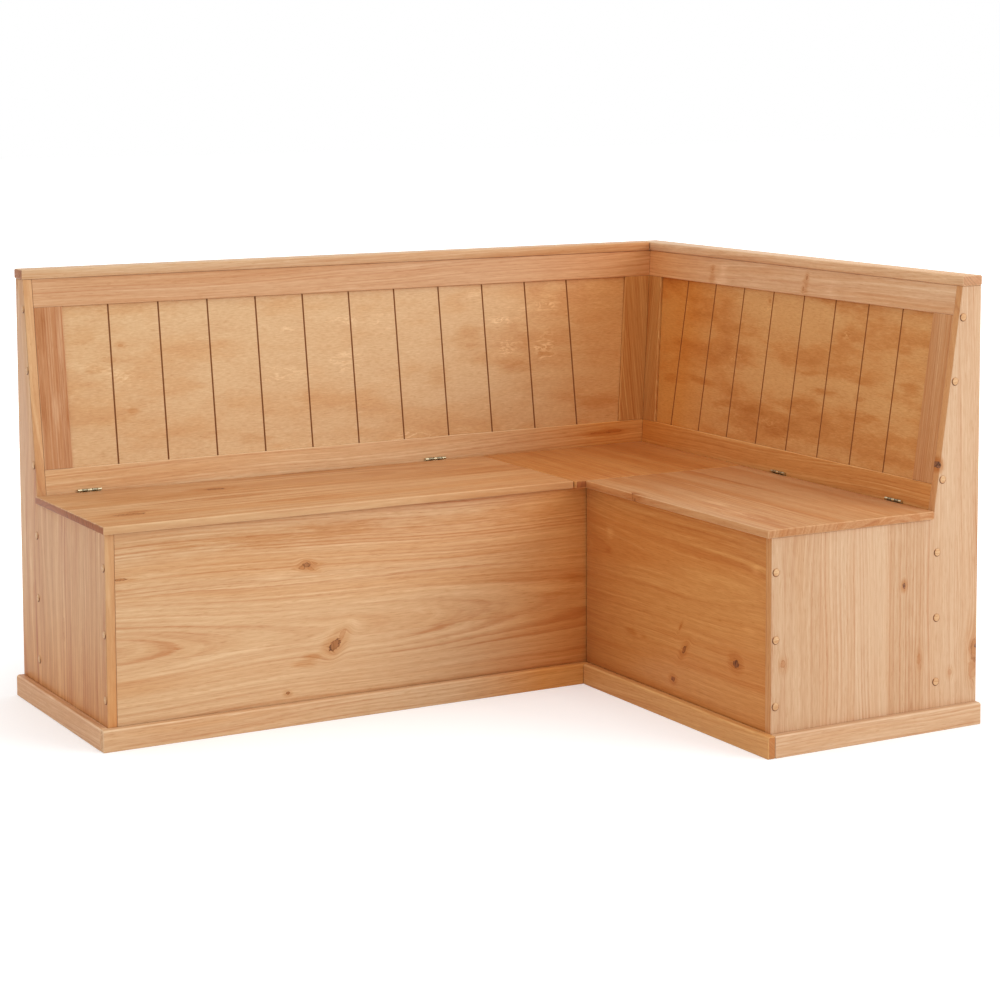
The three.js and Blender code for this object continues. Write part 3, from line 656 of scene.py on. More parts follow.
# Patches by board: what it does, a point of the bench, the radius, how far drawn out, and how strong
PATCHES = {
    "long_front_board": (
        ("warm", -0.335, LONG_FRONT, 0.13, 0.012, 3.0, 0.9),
        ("warm", -0.36, LONG_FRONT, 0.118, 0.01, 3.0, 0.7),
        ("warm", -0.4, LONG_FRONT, 0.375, 0.022, 14.0, 0.7),
        ("warm", 0.05, LONG_FRONT, 0.375, 0.022, 14.0, 0.6),
        ("warm", 0.27, LONG_FRONT, 0.225, 0.01, 3.0, 0.9),
        ("warm", 0.23, LONG_FRONT, 0.195, 0.008, 9.0, 0.7),
        ("pale", -0.42, LONG_FRONT, 0.298, 0.008, 6.0, 0.5)),
    "short_front_board": (
        ("warm", SHORT_FRONT, -0.09, 0.141, 0.009, 3.0, 0.8),
        ("warm", SHORT_FRONT, -0.13, 0.141, 0.008, 3.0, 0.7),
        ("pale", SHORT_FRONT, 0.0, 0.335, 0.018, 1.0, 0.5),
        ("pale", SHORT_FRONT, -0.52, 0.345, 0.012, 1.4, 0.5),
        ("pale", SHORT_FRONT, -0.502, 0.224, 0.012, 2.0, 0.3)),
    "long_seat_lid": (
        ("warm", -0.55, 0.34, SEAT_TOP, 0.04, 6.0, 0.7), ("warm", -0.1, 0.48, SEAT_TOP, 0.03, 8.0, 0.6)),
    "short_seat_lid": (
        ("pale", 0.335, -0.4, SEAT_TOP, 0.02, 4.0, 0.7),
        ("pale", 0.36, -0.28, SEAT_TOP, 0.012, 5.0, 0.5)),
    "short_top_rail": (
        ("warm", 0.74, 0.28, 0.83, 0.032, 0.35, 0.6), ("warm", 0.74, -0.07, 0.83, 0.032, 0.4, 0.9),
        ("pale", 0.74, 0.24, 0.83, 0.03, 0.8, 0.4), ("pale", 0.74, -0.15, 0.83, 0.02, 2.0, 0.4)),
    "long_bottom_rail": (
        ("warm", 0.585, 0.4827, 0.459, 0.009, 7.0, 1.1),),
    "long_grooved_panel": (
        ("curly", -0.205, 0.52, 0.64, 0.017, 3.2, 1.0), ("curly", -0.19, 0.53, 0.735, 0.008, 3.0, 0.7),
        ("curly", -0.06, 0.52, 0.66, 0.028, 1.8, 0.7), ("curly", -0.06, 0.53, 0.745, 0.02, 2.5, 0.6),
        ("curly", 0.03, 0.53, 0.735, 0.028, 1.4, 0.6), ("curly", 0.33, 0.53, 0.725, 0.019, 2.8, 1.0),
        ("curly", 0.46, 0.53, 0.75, 0.015, 3.0, 0.9), ("curly", 0.34, 0.52, 0.665, 0.028, 1.3, 0.8),
        ("curly", 0.44, 0.52, 0.66, 0.03, 1.1, 1.0), ("curly", 0.27, 0.54, 0.79, 0.018, 1.6, 0.6),
        ("warm", -0.627, 0.52, 0.674, 0.012, 2.2, 0.5), ("warm", -0.65, 0.53, 0.745, 0.02, 2.5, 0.39),
        ("warm", -0.549, 0.51, 0.585, 0.009, 1.6, 0.55), ("warm", -0.55, 0.51, 0.563, 0.008, 12.0, 0.33),
        ("warm", -0.28, 0.5, 0.51, 0.012, 4.0, 0.44), ("warm", 0.165, 0.52, 0.61, 0.03, 1.2, 0.5),
        ("warm", 0.25, 0.53, 0.70, 0.027, 1.7, 0.5), ("warm", 0.36, 0.52, 0.62, 0.02, 2.6, 0.44),
        ("warm", 0.44, 0.52, 0.65, 0.014, 1.6, 0.5), ("warm", 0.55, 0.5, 0.53, 0.016, 4.0, 0.5)),
    "short_grooved_panel": (
        ("warm", 0.7, 0.28, 0.593, 0.009, 7.0, 0.8), ("warm", 0.7, 0.13, 0.553, 0.013, 9.0, 1.0),
        ("warm", 0.7, -0.11, 0.65, 0.011, 5.0, 0.71), ("warm", 0.7, -0.17, 0.616, 0.01, 9.0, 1.0),
        ("warm", 0.7, -0.29, 0.654, 0.012, 5.0, 0.8), ("warm", 0.7, -0.3, 0.575, 0.013, 9.0, 0.91),
        ("warm", 0.7, -0.45, 0.655, 0.014, 3.0, 0.91), ("warm", 0.7, -0.42, 0.725, 0.012, 2.5, 0.71),
        ("warm", 0.7, 0.0, 0.545, 0.012, 8.0, 0.8), ("warm", 0.7, 0.4, 0.585, 0.012, 3.0, 0.71),
        ("curly", 0.72, 0.059, 0.77, 0.02, 1.4, 0.8), ("curly", 0.72, -0.222, 0.739, 0.016, 1.6, 0.8)),
    "long_outer_stile": (
        ("warm", -0.738, 0.53, 0.76, 0.014, 5.0, 1.4), ("warm", -0.742, 0.51, 0.6, 0.012, 5.0, 1.2),
        ("warm", -0.69, 0.51, 0.6, 0.006, 9.0, 1.2), ("pale", -0.7, 0.53, 0.74, 0.008, 10.0, 0.55),
        ("pale", -0.716, 0.51, 0.6, 0.012, 3.5, 0.4)),
    "short_cap_rail": (
        ("pale", 0.77, 0.0, 0.88, 0.3, 3.0, 0.55),),
}

# What each board takes from the colour: partly its own wood's tone, partly painted light and shade
TINTS_AND_PAINTED_LIGHT = {
    "left_end_board": (0.95, 0.89, 0.83),
    "right_end_board": (0.97, 1.02, 1.18),
    "long_front_board": (1.08, 1.11, 1.15),
    "short_front_board": (0.99, 1.02, 1.06),
    "left_skirting": (1.08, 1.13, 1.29),
    "long_front_skirting": (1.06, 1.12, 1.22),
    "short_front_skirting": (1.05, 1.12, 1.08),
    "right_skirting": (1.02, 1.09, 1.26),
    "long_seat_lid": (0.96, 0.93, 0.90),
    "short_seat_lid": (0.91, 0.83, 0.78),
    "corner_seat_board": (0.91, 0.95, 1.09),
    "long_grooved_panel": (1.07, 1.16, 1.21),
    "short_grooved_panel": (1.04, 1.07, 0.99),
    "long_top_rail": (0.99, 0.97, 1.02),
    "short_top_rail": (1.12, 1.19, 1.36),
    "long_outer_stile": (0.88, 0.81, 0.83),
    "long_corner_stile": (0.88, 0.80, 0.59),
    "short_corner_stile": (0.89, 0.84, 0.64),
    "short_outer_stile": (0.95, 1.01, 1.18),
    "long_bottom_rail": (1.12, 1.20, 1.27),
    "short_bottom_rail": (1.07, 1.10, 1.00),
    "long_cap_rail": (1.04, 1.11, 1.23),
    "short_cap_rail": (1.05, 1.03, 1.06),
}

# What the node groups take from a figure
RING_FIELDS = ("Seed", "Pith Across", "Pith Depth", "Tilt", "Ring", "Wander", "Stave", "Spread")
FINISH_FIELDS = ("Seed", "Contrast", "Streaks", "Warmth", "Amber", "Edge Wear", "End Darkness", "Flames",
                 "Fibre", "Side Paleness", "Side Amber", "Joint Shade")

# The lacquer: its gloss, and how the grain shows through it as relief
LACQUER = {"Specular IOR Level": 0.12, "Coat Weight": 0.03, "Coat Roughness": 0.28}
RELIEF = {"Strength": 0.35, "Distance": 0.0004}
# How far the veneer's groove walls and eased edges darken towards the groove colour
GROOVE_DARKENING = 0.85


def sockets(figure, labels):
    """A figure's fields by the names of the sockets that take them."""
    return {label: getattr(figure, label.lower().replace(" ", "_")) for label in labels}


def board_axes(grain, face):
    """Turns board directions into the bench's: along the grain, across it, and out of the face."""
    return Matrix((grain, face.cross(grain), face)).transposed()


def pine(name, middle, length, grain, face, figure, veneer=False):
    """Lacquered pine for one board, cut from the log where its figure says, with its own marks."""
    material, wires, shader = new_material(name)
    axes = board_axes(grain, face)
    turn = {"Rotation": axes.to_euler("XYZ")}
    seen = wires.node("ShaderNodeTexCoord")
    spot = wires.node("ShaderNodeMapping", {"Vector": seen["Object"], "Location": middle, **turn},
                      vector_type="TEXTURE")[0]
    facing = wires.node("ShaderNodeMapping", {"Vector": seen["Normal"], **turn}, vector_type="TEXTURE")[0]

    def on_board(point):
        place = axes.inverted() @ (Vector(point) - middle)
        return {"Along": place.x, "Across": place.y}

    masks = {"warm": 0.0, "pale": 0.0, "curly": 0.0}
    if name in PATCHES:
        ragged = wires.noise(spot, (11, 80, 40), detail=4.0, roughness=0.65)[0]
    for kind, *point, radius, stretch, strength in PATCHES.get(name, ()):
        masks[kind] = group_node(wires, "Patch on a board", patch_group, {
            "Board": spot, "Ragged": ragged, "Mask": masks[kind], **on_board(point),
            "Radius": radius, "Stretch": stretch, "Strength": strength})["Mask"]
    heart, halo = 0.0, masks["warm"]
    for *point, radius, stretch, darkness, angle in KNOTS.get(name, ()):
        spot, heart, halo = group_node(wires, "Knot in a board", knot_group, {
            "Board": spot, "Heart": heart, "Halo": halo, **on_board(point),
            "Radius": radius, "Stretch": stretch, "Darkness": darkness, "Turn": angle})
    values = {"Board": spot, "Facing": facing, "Heart": heart, "Halo": halo,
              **sockets(figure, FINISH_FIELDS), "Amber Rise": abs(figure.amber_rise),
              "Length": math.copysign(length, figure.amber_rise), "Tint": TINTS_AND_PAINTED_LIGHT.get(name, (1, 1, 1))}
    if veneer:
        peeled = group_node(wires, "Peeled veneer", veneer_group, {
            "Board": spot, "Seed": figure.seed, "Curly": masks["curly"]})
        values.update({label: peeled[label] for label in ("Late", "Streak", "Flame", "Curl")})
        values.update({"Edge Wear": 0.0, "Groove Darkening": GROOVE_DARKENING})
    else:
        sawn = group_node(wires, "Pine growth rings", pine_group, {
            "Board": spot, **sockets(figure, RING_FIELDS)})
        values.update({label: sawn[label] for label in ("Late", "Streak", "Flame", "Stave Tone", "Seam")})
        values["Curl"] = masks["pale"]
    lacquer(wires, shader, values)
    return material


def lacquer(wires, shader, values):
    """The finish of a surface, under satin lacquer."""
    surface = group_node(wires, "Lacquered pine", finish_group, values)
    bump = wires.node("ShaderNodeBump", {"Height": surface["Height"], **RELIEF})
    wires.feed(shader, {"Base Color": surface["Colour"], "Roughness": surface["Roughness"],
                        "Normal": bump[0], **LACQUER})


def turned_pine():
    """The wood of the plugs: pale buttons, with a painted shadow dark round the lower side of their rims.
    """
    material, wires, shader = new_material("screw_plugs")
    place = wires.node("ShaderNodeTexCoord")["Object"]
    rim = wires.node("ShaderNodeAttribute", attribute_name="rim")["Fac"]
    middle = wires.node("ShaderNodeAttribute", attribute_name="middle")["Vector"]
    away = wires.vector("SUBTRACT", place, middle)
    lower = wires.node("ShaderNodeVectorMath", {0: away, 1: PAINTED_SHADOW_SIDE}, operation="DOT_PRODUCT")["Value"]
    radius = sizes().plug_radius
    # Painted shadow: the rim darkens on its lower side, as the dome's shade
    painted_shadow = wires.span(lower, PAINTED_SHADOW_START * radius, PAINTED_SHADOW_END * radius, 0.2, 1.0)
    painted_shadow = painted_shadow * wires.span(rim, RIM_START, RIM_END)
    lacquer(wires, shader, {
        "Board": place, "Facing": (0, 0, 1), "Seed": 80.0, "Contrast": 0.3, "Warmth": 0.0,
        "Streak": wires.noise(place, (60, 60, 400))[0], "Heart": painted_shadow * 0.95, "Edge Wear": 0.0,
        "Curl": 0.15})
    return material


def brass(name, level):
    """Thin brass plating, dulled in specks; the level scales its colour, and its lower value on the lid
    leaves is painted shade.
    """
    material, wires, shader = new_material(name)
    dulled = wires.noise(wires.node("ShaderNodeTexCoord")["Object"], (260, 260, 420), detail=3.0)[0]
    colour = wires.scaled(finish().brass, level)
    specks = wires.span(dulled, 0.45, 0.7, 0.0, 0.8)
    wires.feed(shader, {
        "Metallic": 1.0, "Base Color": wires.mixed(specks, colour, wires.scaled(colour, DULL_SHARE)),
        "Roughness": wires.span(dulled, 0.3, 0.8, 0.2, 0.42)})
    return material


# Boards: copies of the frame's boards with their edges eased


def welded_copy(node):
    """A CAD node's mesh with its triangles merged into whole faces, as a bmesh."""
    made = bmesh.new()
    made.from_mesh(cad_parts[node].data)
    bmesh.ops.remove_doubles(made, verts=made.verts, dist=WELD)
    bmesh.ops.dissolve_limit(
        made, angle_limit=FLAT_ANGLE, use_dissolve_boundaries=False,
        verts=made.verts, edges=made.edges, delimit={"NORMAL"})
    return made


def mesh_from(made, name):
    """A plain mesh with only the places and faces of a bmesh."""
    made.verts.index_update()
    points = [vertex.co.copy() for vertex in made.verts]
    faces = [[vertex.index for vertex in face.verts] for face in made.faces]
    made.free()
    mesh = bpy.data.meshes.new(name)
    mesh.from_pydata(points, [], faces)
    mesh.validate()
    return mesh


def added(name, data, material=None):
    piece = bpy.data.objects.new(name, data)
    bpy.context.scene.collection.objects.link(piece)
    if material is not None:
        piece.data.materials.clear()
        piece.data.materials.append(material)
    return piece


def eased(piece, width, segments=3):
    """Rounds the sharp edges of a piece and leaves it a plain mesh with soft shading on them."""
    piece.data.polygons.foreach_set("use_smooth", [True] * len(piece.data.polygons))
    bevel = piece.modifiers.new("Arris", "BEVEL")
    bevel.width = width
    bevel.segments = segments
    bevel.limit_method = "ANGLE"
    bevel.angle_limit = EDGE_ANGLE
    bevel.harden_normals = True
    bevel.use_clamp_overlap = True
    apply_modifiers(piece)


def apply_modifiers(piece):
    """Leaves what the modifiers of a piece make as its own mesh."""
    graph = bpy.context.evaluated_depsgraph_get()
    mesh = bpy.data.meshes.new_from_object(piece.evaluated_get(graph), depsgraph=graph)
    piece.modifiers.clear()
    piece.data = mesh


def settled(piece, body, slot, *nodes):
    """Ties a finished piece to its body and hides the nodes that it stands for. The slot is not used."""
    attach(piece, body)
    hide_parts(*nodes)


def middle_of(node):
    low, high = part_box(node)
    return (low + high) / 2


def length_of(node, grain):
    """How long a board is along its grain."""
    low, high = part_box(node)
    return sum(abs(side * share) for side, share in zip(high - low, grain))


def tightened(mesh, grain, reach):
    """Lets both ends of a board reach into their joints."""
    spots = [vertex.co.dot(grain) for vertex in mesh.vertices]
    for vertex, spot in zip(mesh.vertices, spots):
        if spot > max(spots) - WELD:
            vertex.co += grain * reach
        elif spot < min(spots) + WELD:
            vertex.co -= grain * reach


def sunk(mesh, depth):
    """Lets the underside of a board reach into its joint."""
    underside = min(vertex.co.z for vertex in mesh.vertices)
    for vertex in mesh.vertices:
        if vertex.co.z < underside + WELD:
            vertex.co.z -= depth


def board(node, piece_name, body, slot, grain, face, figure, arris=None, reach=0.0, sink=0.0):
    """One board of the bench: the node's own form with eased edges, in lacquered pine."""
    material = pine(piece_name, middle_of(node), length_of(node, grain), grain, face, figure)
    piece = added(piece_name, mesh_from(welded_copy(node), piece_name), material)
    tightened(piece.data, grain, reach)
    sunk(piece.data, sink)
    eased(piece, sizes().arris if arris is None else arris)
    settled(piece, body, slot, node)


def inner_board(node, grain, face, figure):
    """A board that shows only with a lid open keeps its node and gets its pine."""
    material = pine(node + "_pine", middle_of(node), length_of(node, grain), grain, face, figure)
    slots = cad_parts[node].data.materials
    slots.clear()
    slots.append(material)


# Geometry trees


def grown(piece, tree, values):
    """Runs a piece through a geometry tree and leaves what it makes as the piece's own mesh."""
    modifier = piece.modifiers.new(tree.name, "NODES")
    modifier.node_group = tree
    for item in tree.interface.items_tree:
        if item.in_out == "INPUT" and item.name in values:
            modifier[item.identifier] = values[item.name]
    apply_modifiers(piece)
    return piece


def finished(wires, geometry, given):
    """Ends a geometry tree: real geometry in the given material."""
    real = wires.node("GeometryNodeRealizeInstances", {0: geometry})[0]
    dressed = wires.node("GeometryNodeSetMaterial", {"Geometry": real, "Material": given["Material"]})
    return wires.give({"Geometry": dressed[0]})


def placed(name, points, **named):
    """A mesh of loose points, with named vectors for each."""
    mesh = bpy.data.meshes.new(name)
    mesh.from_pydata(points, [], [])
    for attribute, vectors in named.items():
        layer = mesh.attributes.new(attribute, "FLOAT_VECTOR", "POINT")
        layer.data.foreach_set("vector", [number for vector in vectors for number in vector])
    return mesh


def named_vector(wires, name):
    return wires.node("GeometryNodeInputNamedAttribute", {"Name": name}, data_type="FLOAT_VECTOR")[0]


def copies(wires, points, piece, **turning):
    """A copy of a piece at each point."""
    return wires.node("GeometryNodeInstanceOnPoints", {"Points": points, "Instance": piece, **turning})[0]


def row_of(wires, piece, count, start, step):
    """Copies of a piece along the x axis."""
    line = wires.node("GeometryNodeMeshLine", {
        "Count": count, "Start Location": wires.triple(start), "Offset": wires.triple(step)}, mode="OFFSET")
    return copies(wires, line[0], piece)


def moved(wires, geometry, shift=(0, 0, 0), turn=(0, 0, 0), scale=(1, 1, 1)):
    values = {"Geometry": geometry, "Translation": shift, "Rotation": turn, "Scale": scale}
    return wires.node("GeometryNodeTransform", values)[0]


def cylinder(wires, sides, radius, depth):
    return wires.node("GeometryNodeMeshCylinder", {"Vertices": sides, "Radius": radius, "Depth": depth})[0]


def block(wires, *sides):
    return wires.node("GeometryNodeMeshCube", {"Size": wires.triple(*sides)})[0]


def cut_away(wires, solid, cutter):
    return wires.node("GeometryNodeMeshBoolean", {"Mesh 1": solid, "Mesh 2": cutter},
                      operation="DIFFERENCE", solver="EXACT")[0]


def grooves_tree():
    """V grooves in a sheet: a row of four-sided cutters, point down in the face."""
    wires, given = node_group(
        "Grooved sheet", "GeometryNodeTree",
        {"Geometry": "Geometry", "Start": 0.0, "Pitch": 0.11, "Count": 8, "Width": 0.004, "Depth": 0.003,
         "Face": 0.0, "Material": "Material"},
        {"Geometry": "Geometry"})
    prism = cylinder(wires, 4, 1.0, 4.0)
    cutter = moved(wires, prism, scale=wires.triple(given["Width"] * 0.5, given["Depth"], 1.0))
    row = row_of(wires, cutter, given["Count"], given["Start"] + given["Pitch"], given["Pitch"])
    on_face = moved(wires, row, shift=wires.triple(0.0, given["Face"], 0.0))
    real = wires.node("GeometryNodeRealizeInstances", {0: on_face})[0]
    return finished(wires, cut_away(wires, given["Geometry"], real), given)


def plugs_tree():
    """Domed plugs, turned as one profile round its axis: the dome, the wall, then the flat base."""
    wires, given = node_group(
        "Turned plugs", "GeometryNodeTree",
        {"Geometry": "Geometry", "Radius": 0.008, "Dome": 0.002, "Depth": 0.007, "Sides": 36,
         "Material": "Material"},
        {"Geometry": "Geometry"})
    grid = wires.node("GeometryNodeMeshGrid", {
        "Size X": 1.0, "Size Y": 1.0, "Vertices X": PROFILE_POINTS, "Vertices Y": given["Sides"] + 1.0})[0]
    place = wires.parts(wires.node("GeometryNodeInputPosition")[0])
    share = place[0] + 0.5
    angle = place[1] * math.tau
    dome = wires.ramp(share, 0.0, DOME_SHARE) * (math.pi / 2)
    wall = wires.ramp(share, DOME_SHARE, DOME_SHARE + WALL_SHARE)
    base = wires.ramp(share, DOME_SHARE + WALL_SHARE, 1.0)
    bulge = wires.maths("SINE", dome)
    reach = bulge * (1.0 - base) * given["Radius"]
    rise = wires.maths("COSINE", dome) * given["Dome"] - wall * given["Depth"]
    turned = wires.triple(reach * wires.maths("COSINE", angle), reach * wires.maths("SINE", angle), rise)
    values = {"Geometry": grid, "Name": "rim", "Value": wires.maths("MINIMUM", bulge + wall, 1.0)}
    marked = wires.node("GeometryNodeStoreNamedAttribute", values, data_type="FLOAT", domain="POINT")[0]
    shaped = wires.node("GeometryNodeSetPosition", {"Geometry": marked, "Position": turned})[0]
    closed = wires.node("GeometryNodeMergeByDistance", {"Geometry": shaped, "Distance": PLUG_WELD})[0]
    looking = named_vector(wires, "looking")
    turn = wires.node("FunctionNodeAlignRotationToVector", {"Vector": looking}, axis="Z")[0]
    return finished(wires, copies(wires, given["Geometry"], closed, Rotation=turn), given)


def hinge_tree():
    """One leaf of a butt hinge: plate, rolled knuckles with their tabs, and screws, at each place.

    The pin lies along x. The wood is on the +y side and the plate hangs down from the knuckles."""
    wires, given = node_group(
        "Hinge leaf", "GeometryNodeTree",
        {"Geometry": "Geometry", "Length": 0.052, "Knuckles": 5, "First": 0, "Radius": 0.003,
         "Pin": 0.0013, "Bore": 0.0016, "Gap": 0.001, "Thickness": 0.0012, "Face": 0.0018,
         "Foot": 0.017, "Screws": 3, "Screw Radius": 0.0023, "Material": "Material"},
        {"Geometry": "Geometry"})
    length, radius, thickness = given["Length"], given["Radius"], given["Thickness"]
    pitch = length / given["Knuckles"]
    width = pitch - given["Gap"]
    left = (given["First"] + 0.5) * pitch - length * 0.5
    count = wires.maths("CEIL", (given["Knuckles"] - given["First"]) * 0.5)
    step = pitch * 2.0
    half_thick = thickness * 0.5
    middle = given["Face"] + half_thick

    # Knuckles, and the tabs that roll into them
    sideways = (0, math.pi / 2, 0)
    tube = cut_away(wires, cylinder(wires, KNUCKLE_SIDES, radius, width),
                    cylinder(wires, KNUCKLE_SIDES, given["Bore"], length))
    knuckles = row_of(wires, moved(wires, tube, turn=sideways), count, left, step)
    drop = radius + TAB_DROP
    tab = block(wires, width, thickness, drop - radius)
    tab = moved(wires, tab, shift=wires.triple(0.0, middle, (drop + radius) * -0.5))
    tabs = row_of(wires, tab, count, left, step)

    # The plate
    tall = given["Foot"] - (radius + PLATE_DROP)
    plate_height = tall * 0.5 - given["Foot"]
    plate = block(wires, length, thickness, tall)
    plate = moved(wires, plate, shift=wires.triple(0.0, middle, plate_height))

    # Screw heads with crossed slots
    head = cylinder(wires, SCREW_SIDES, given["Screw Radius"], thickness)
    slot = block(wires, given["Screw Radius"] * SLOT_LENGTH_SHARE, given["Screw Radius"] * SLOT_WIDTH_SHARE,
                 half_thick)
    slot = moved(wires, slot, shift=wires.triple(0.0, 0.0, half_thick))
    cross = cut_away(wires, cut_away(wires, head, slot), moved(wires, slot, turn=(0, 0, math.pi / 2)))
    screw = moved(wires, cross, turn=(math.pi / 2, 0, 0),
                  shift=wires.triple(0.0, middle - SCREW_PROUD, plate_height))
    screw_step = length * SCREW_SPACING_SHARE
    screws = row_of(wires, screw, given["Screws"], screw_step * -1.0, screw_step)

    # The pin, which the fixed leaf alone has
    pin = moved(wires, cylinder(wires, PIN_SIDES, given["Pin"], length - given["Gap"]), turn=sideways)
    has_pin = wires.maths("GREATER_THAN", given["Pin"], 0.0)
    pin = wires.node("GeometryNodeSwitch", {"Switch": has_pin, "True": pin}, input_type="GEOMETRY")[0]

    leaf = wires.node("GeometryNodeJoinGeometry")
    for part in (knuckles, tabs, plate, screws, pin):
        wires.feed(leaf.made.inputs, {0: part})
    turn = wires.node("FunctionNodeEulerToRotation", {"Euler": named_vector(wires, "turning")})[0]
    return finished(wires, copies(wires, given["Geometry"], leaf[0], Rotation=turn), given)


# The pieces of the bench


class BenchEndPanels(bpy.types.Operator):
    """Make the two shaped end panels"""

    bl_idname = "bench.end_panels"
    bl_label = "End panels"

    def execute(self, context):
        upright = PLAIN._replace(pith_across=0.3, pith_depth=0.14, tilt=0.012, ring=0.0068, wander=0.06,
                                 stave=0.082, spread=0.1, contrast=0.58, streaks=0.75, warmth=-0.1,
                                 end_darkness=0.35, flames=0.45)
        # The left end's painted shade rises towards its foot
        board("end_panel_left", "left_end_board", "carcass", "pine_end_panel", UP, WEST,
              upright._replace(seed=3.0, ring=0.019, contrast=0.9, streaks=1.8, warmth=0.1, amber=0.1,
                               amber_rise=-0.5, side_paleness=0.2, fibre=(20, 190, 190)))
        board("end_panel_right", "right_end_board", "carcass", "pine_end_panel", UP, SOUTH,
              upright._replace(seed=8.0, side_amber=0.75))
        return {"FINISHED"}


class BenchChests(bpy.types.Operator):
    """Make the chests' fronts, and finish their backs, floors, partitions and battens"""

    bl_idname = "bench.chests"
    bl_label = "Chests"

    def execute(self, context):
        flat_sawn = PLAIN._replace(pith_depth=0.045, tilt=0.03, ring=0.0068, wander=0.05, stave=0.128,
                                   spread=0.04, contrast=0.62, streaks=1.0, end_darkness=0.5)
        board("front_panel_long", "long_front_board", "carcass", "pine_front", EAST, SOUTH,
              flat_sawn._replace(seed=5.0, pith_across=-0.04, amber_rise=0.95))
        board("front_panel_short", "short_front_board", "carcass", "pine_front", SOUTH, WEST,
              flat_sawn._replace(seed=12.0, pith_across=0.1, contrast=0.38, streaks=0.92, warmth=0.3,
                                 amber=0.9))
        raw = PLAIN._replace(ring=0.0065, contrast=0.55, warmth=0.0)
        for index, wing in enumerate(("long", "short")):
            grain, face = ((EAST, SOUTH), (SOUTH, WEST))[index]
            inner_board(f"chest_back_{wing}", grain, face, raw._replace(seed=20.0 + index))
            inner_board(f"chest_floor_{wing}", grain, UP, raw._replace(seed=24.0 + index, contrast=0.35))
            inner_board(f"partition_{wing}", UP, grain, raw._replace(seed=28.0 + index))
            inner_board(f"corner_batten_{wing}", grain, face, raw._replace(seed=32.0 + index))
        return {"FINISHED"}


class BenchSkirting(bpy.types.Operator):
    """Make the skirting boards round the foot"""

    bl_idname = "bench.skirting"
    bl_label = "Skirting"

    def execute(self, context):
        narrow = PLAIN._replace(pith_depth=0.09, ring=0.006, wander=0.04, contrast=0.45, edge_wear=0.9)
        board("plinth_end_left", "left_skirting", "carcass", "pine_front", SOUTH, WEST,
              narrow._replace(seed=40.0, amber=0.25))
        board("plinth_end_right", "right_skirting", "carcass", "pine_front", EAST, SOUTH,
              narrow._replace(seed=41.0, edge_wear=0.4))
        board("plinth_front_long", "long_front_skirting", "carcass", "pine_front", EAST, SOUTH,
              narrow._replace(seed=42.0, edge_wear=0.45, end_darkness=0.12, amber_rise=1.3))
        board("plinth_front_short", "short_front_skirting", "carcass", "pine_front", SOUTH, WEST,
              narrow._replace(seed=43.0, warmth=0.2, amber=0.6, edge_wear=0.6, end_darkness=0.6))
        return {"FINISHED"}


class BenchSeats(bpy.types.Operator):
    """Make the two seat lids and the fixed corner seat"""

    bl_idname = "bench.seats"
    bl_label = "Seats"

    def execute(self, context):
        seat = PLAIN._replace(pith_depth=0.06, tilt=0.015, ring=0.0095, wander=0.05, stave=0.098,
                              spread=0.12, contrast=0.8, streaks=1.5, warmth=0.12, edge_wear=0.75,
                              end_darkness=0.85, flames=1.3, fibre=(24, 260, 260), side_paleness=0.25)
        board("lid_long", "long_seat_lid", "long_lid", "pine_seat", EAST, UP,
              seat._replace(seed=6.0, amber_rise=0.4, end_darkness=1.0), SEAT_ARRIS)
        board("lid_short", "short_seat_lid", "short_lid", "pine_seat", SOUTH, UP,
              seat._replace(seed=9.0, amber=0.12, amber_rise=-0.25, end_darkness=0.15, contrast=0.65,
                            streaks=1.1, side_paleness=0.0, side_amber=0.3), SEAT_ARRIS)
        board("corner_seat", "corner_seat_board", "carcass", "pine_seat", SOUTH, UP,
              seat._replace(seed=11.0, warmth=0.3, amber=0.95, contrast=0.5, streaks=1.0), SEAT_ARRIS)
        return {"FINISHED"}


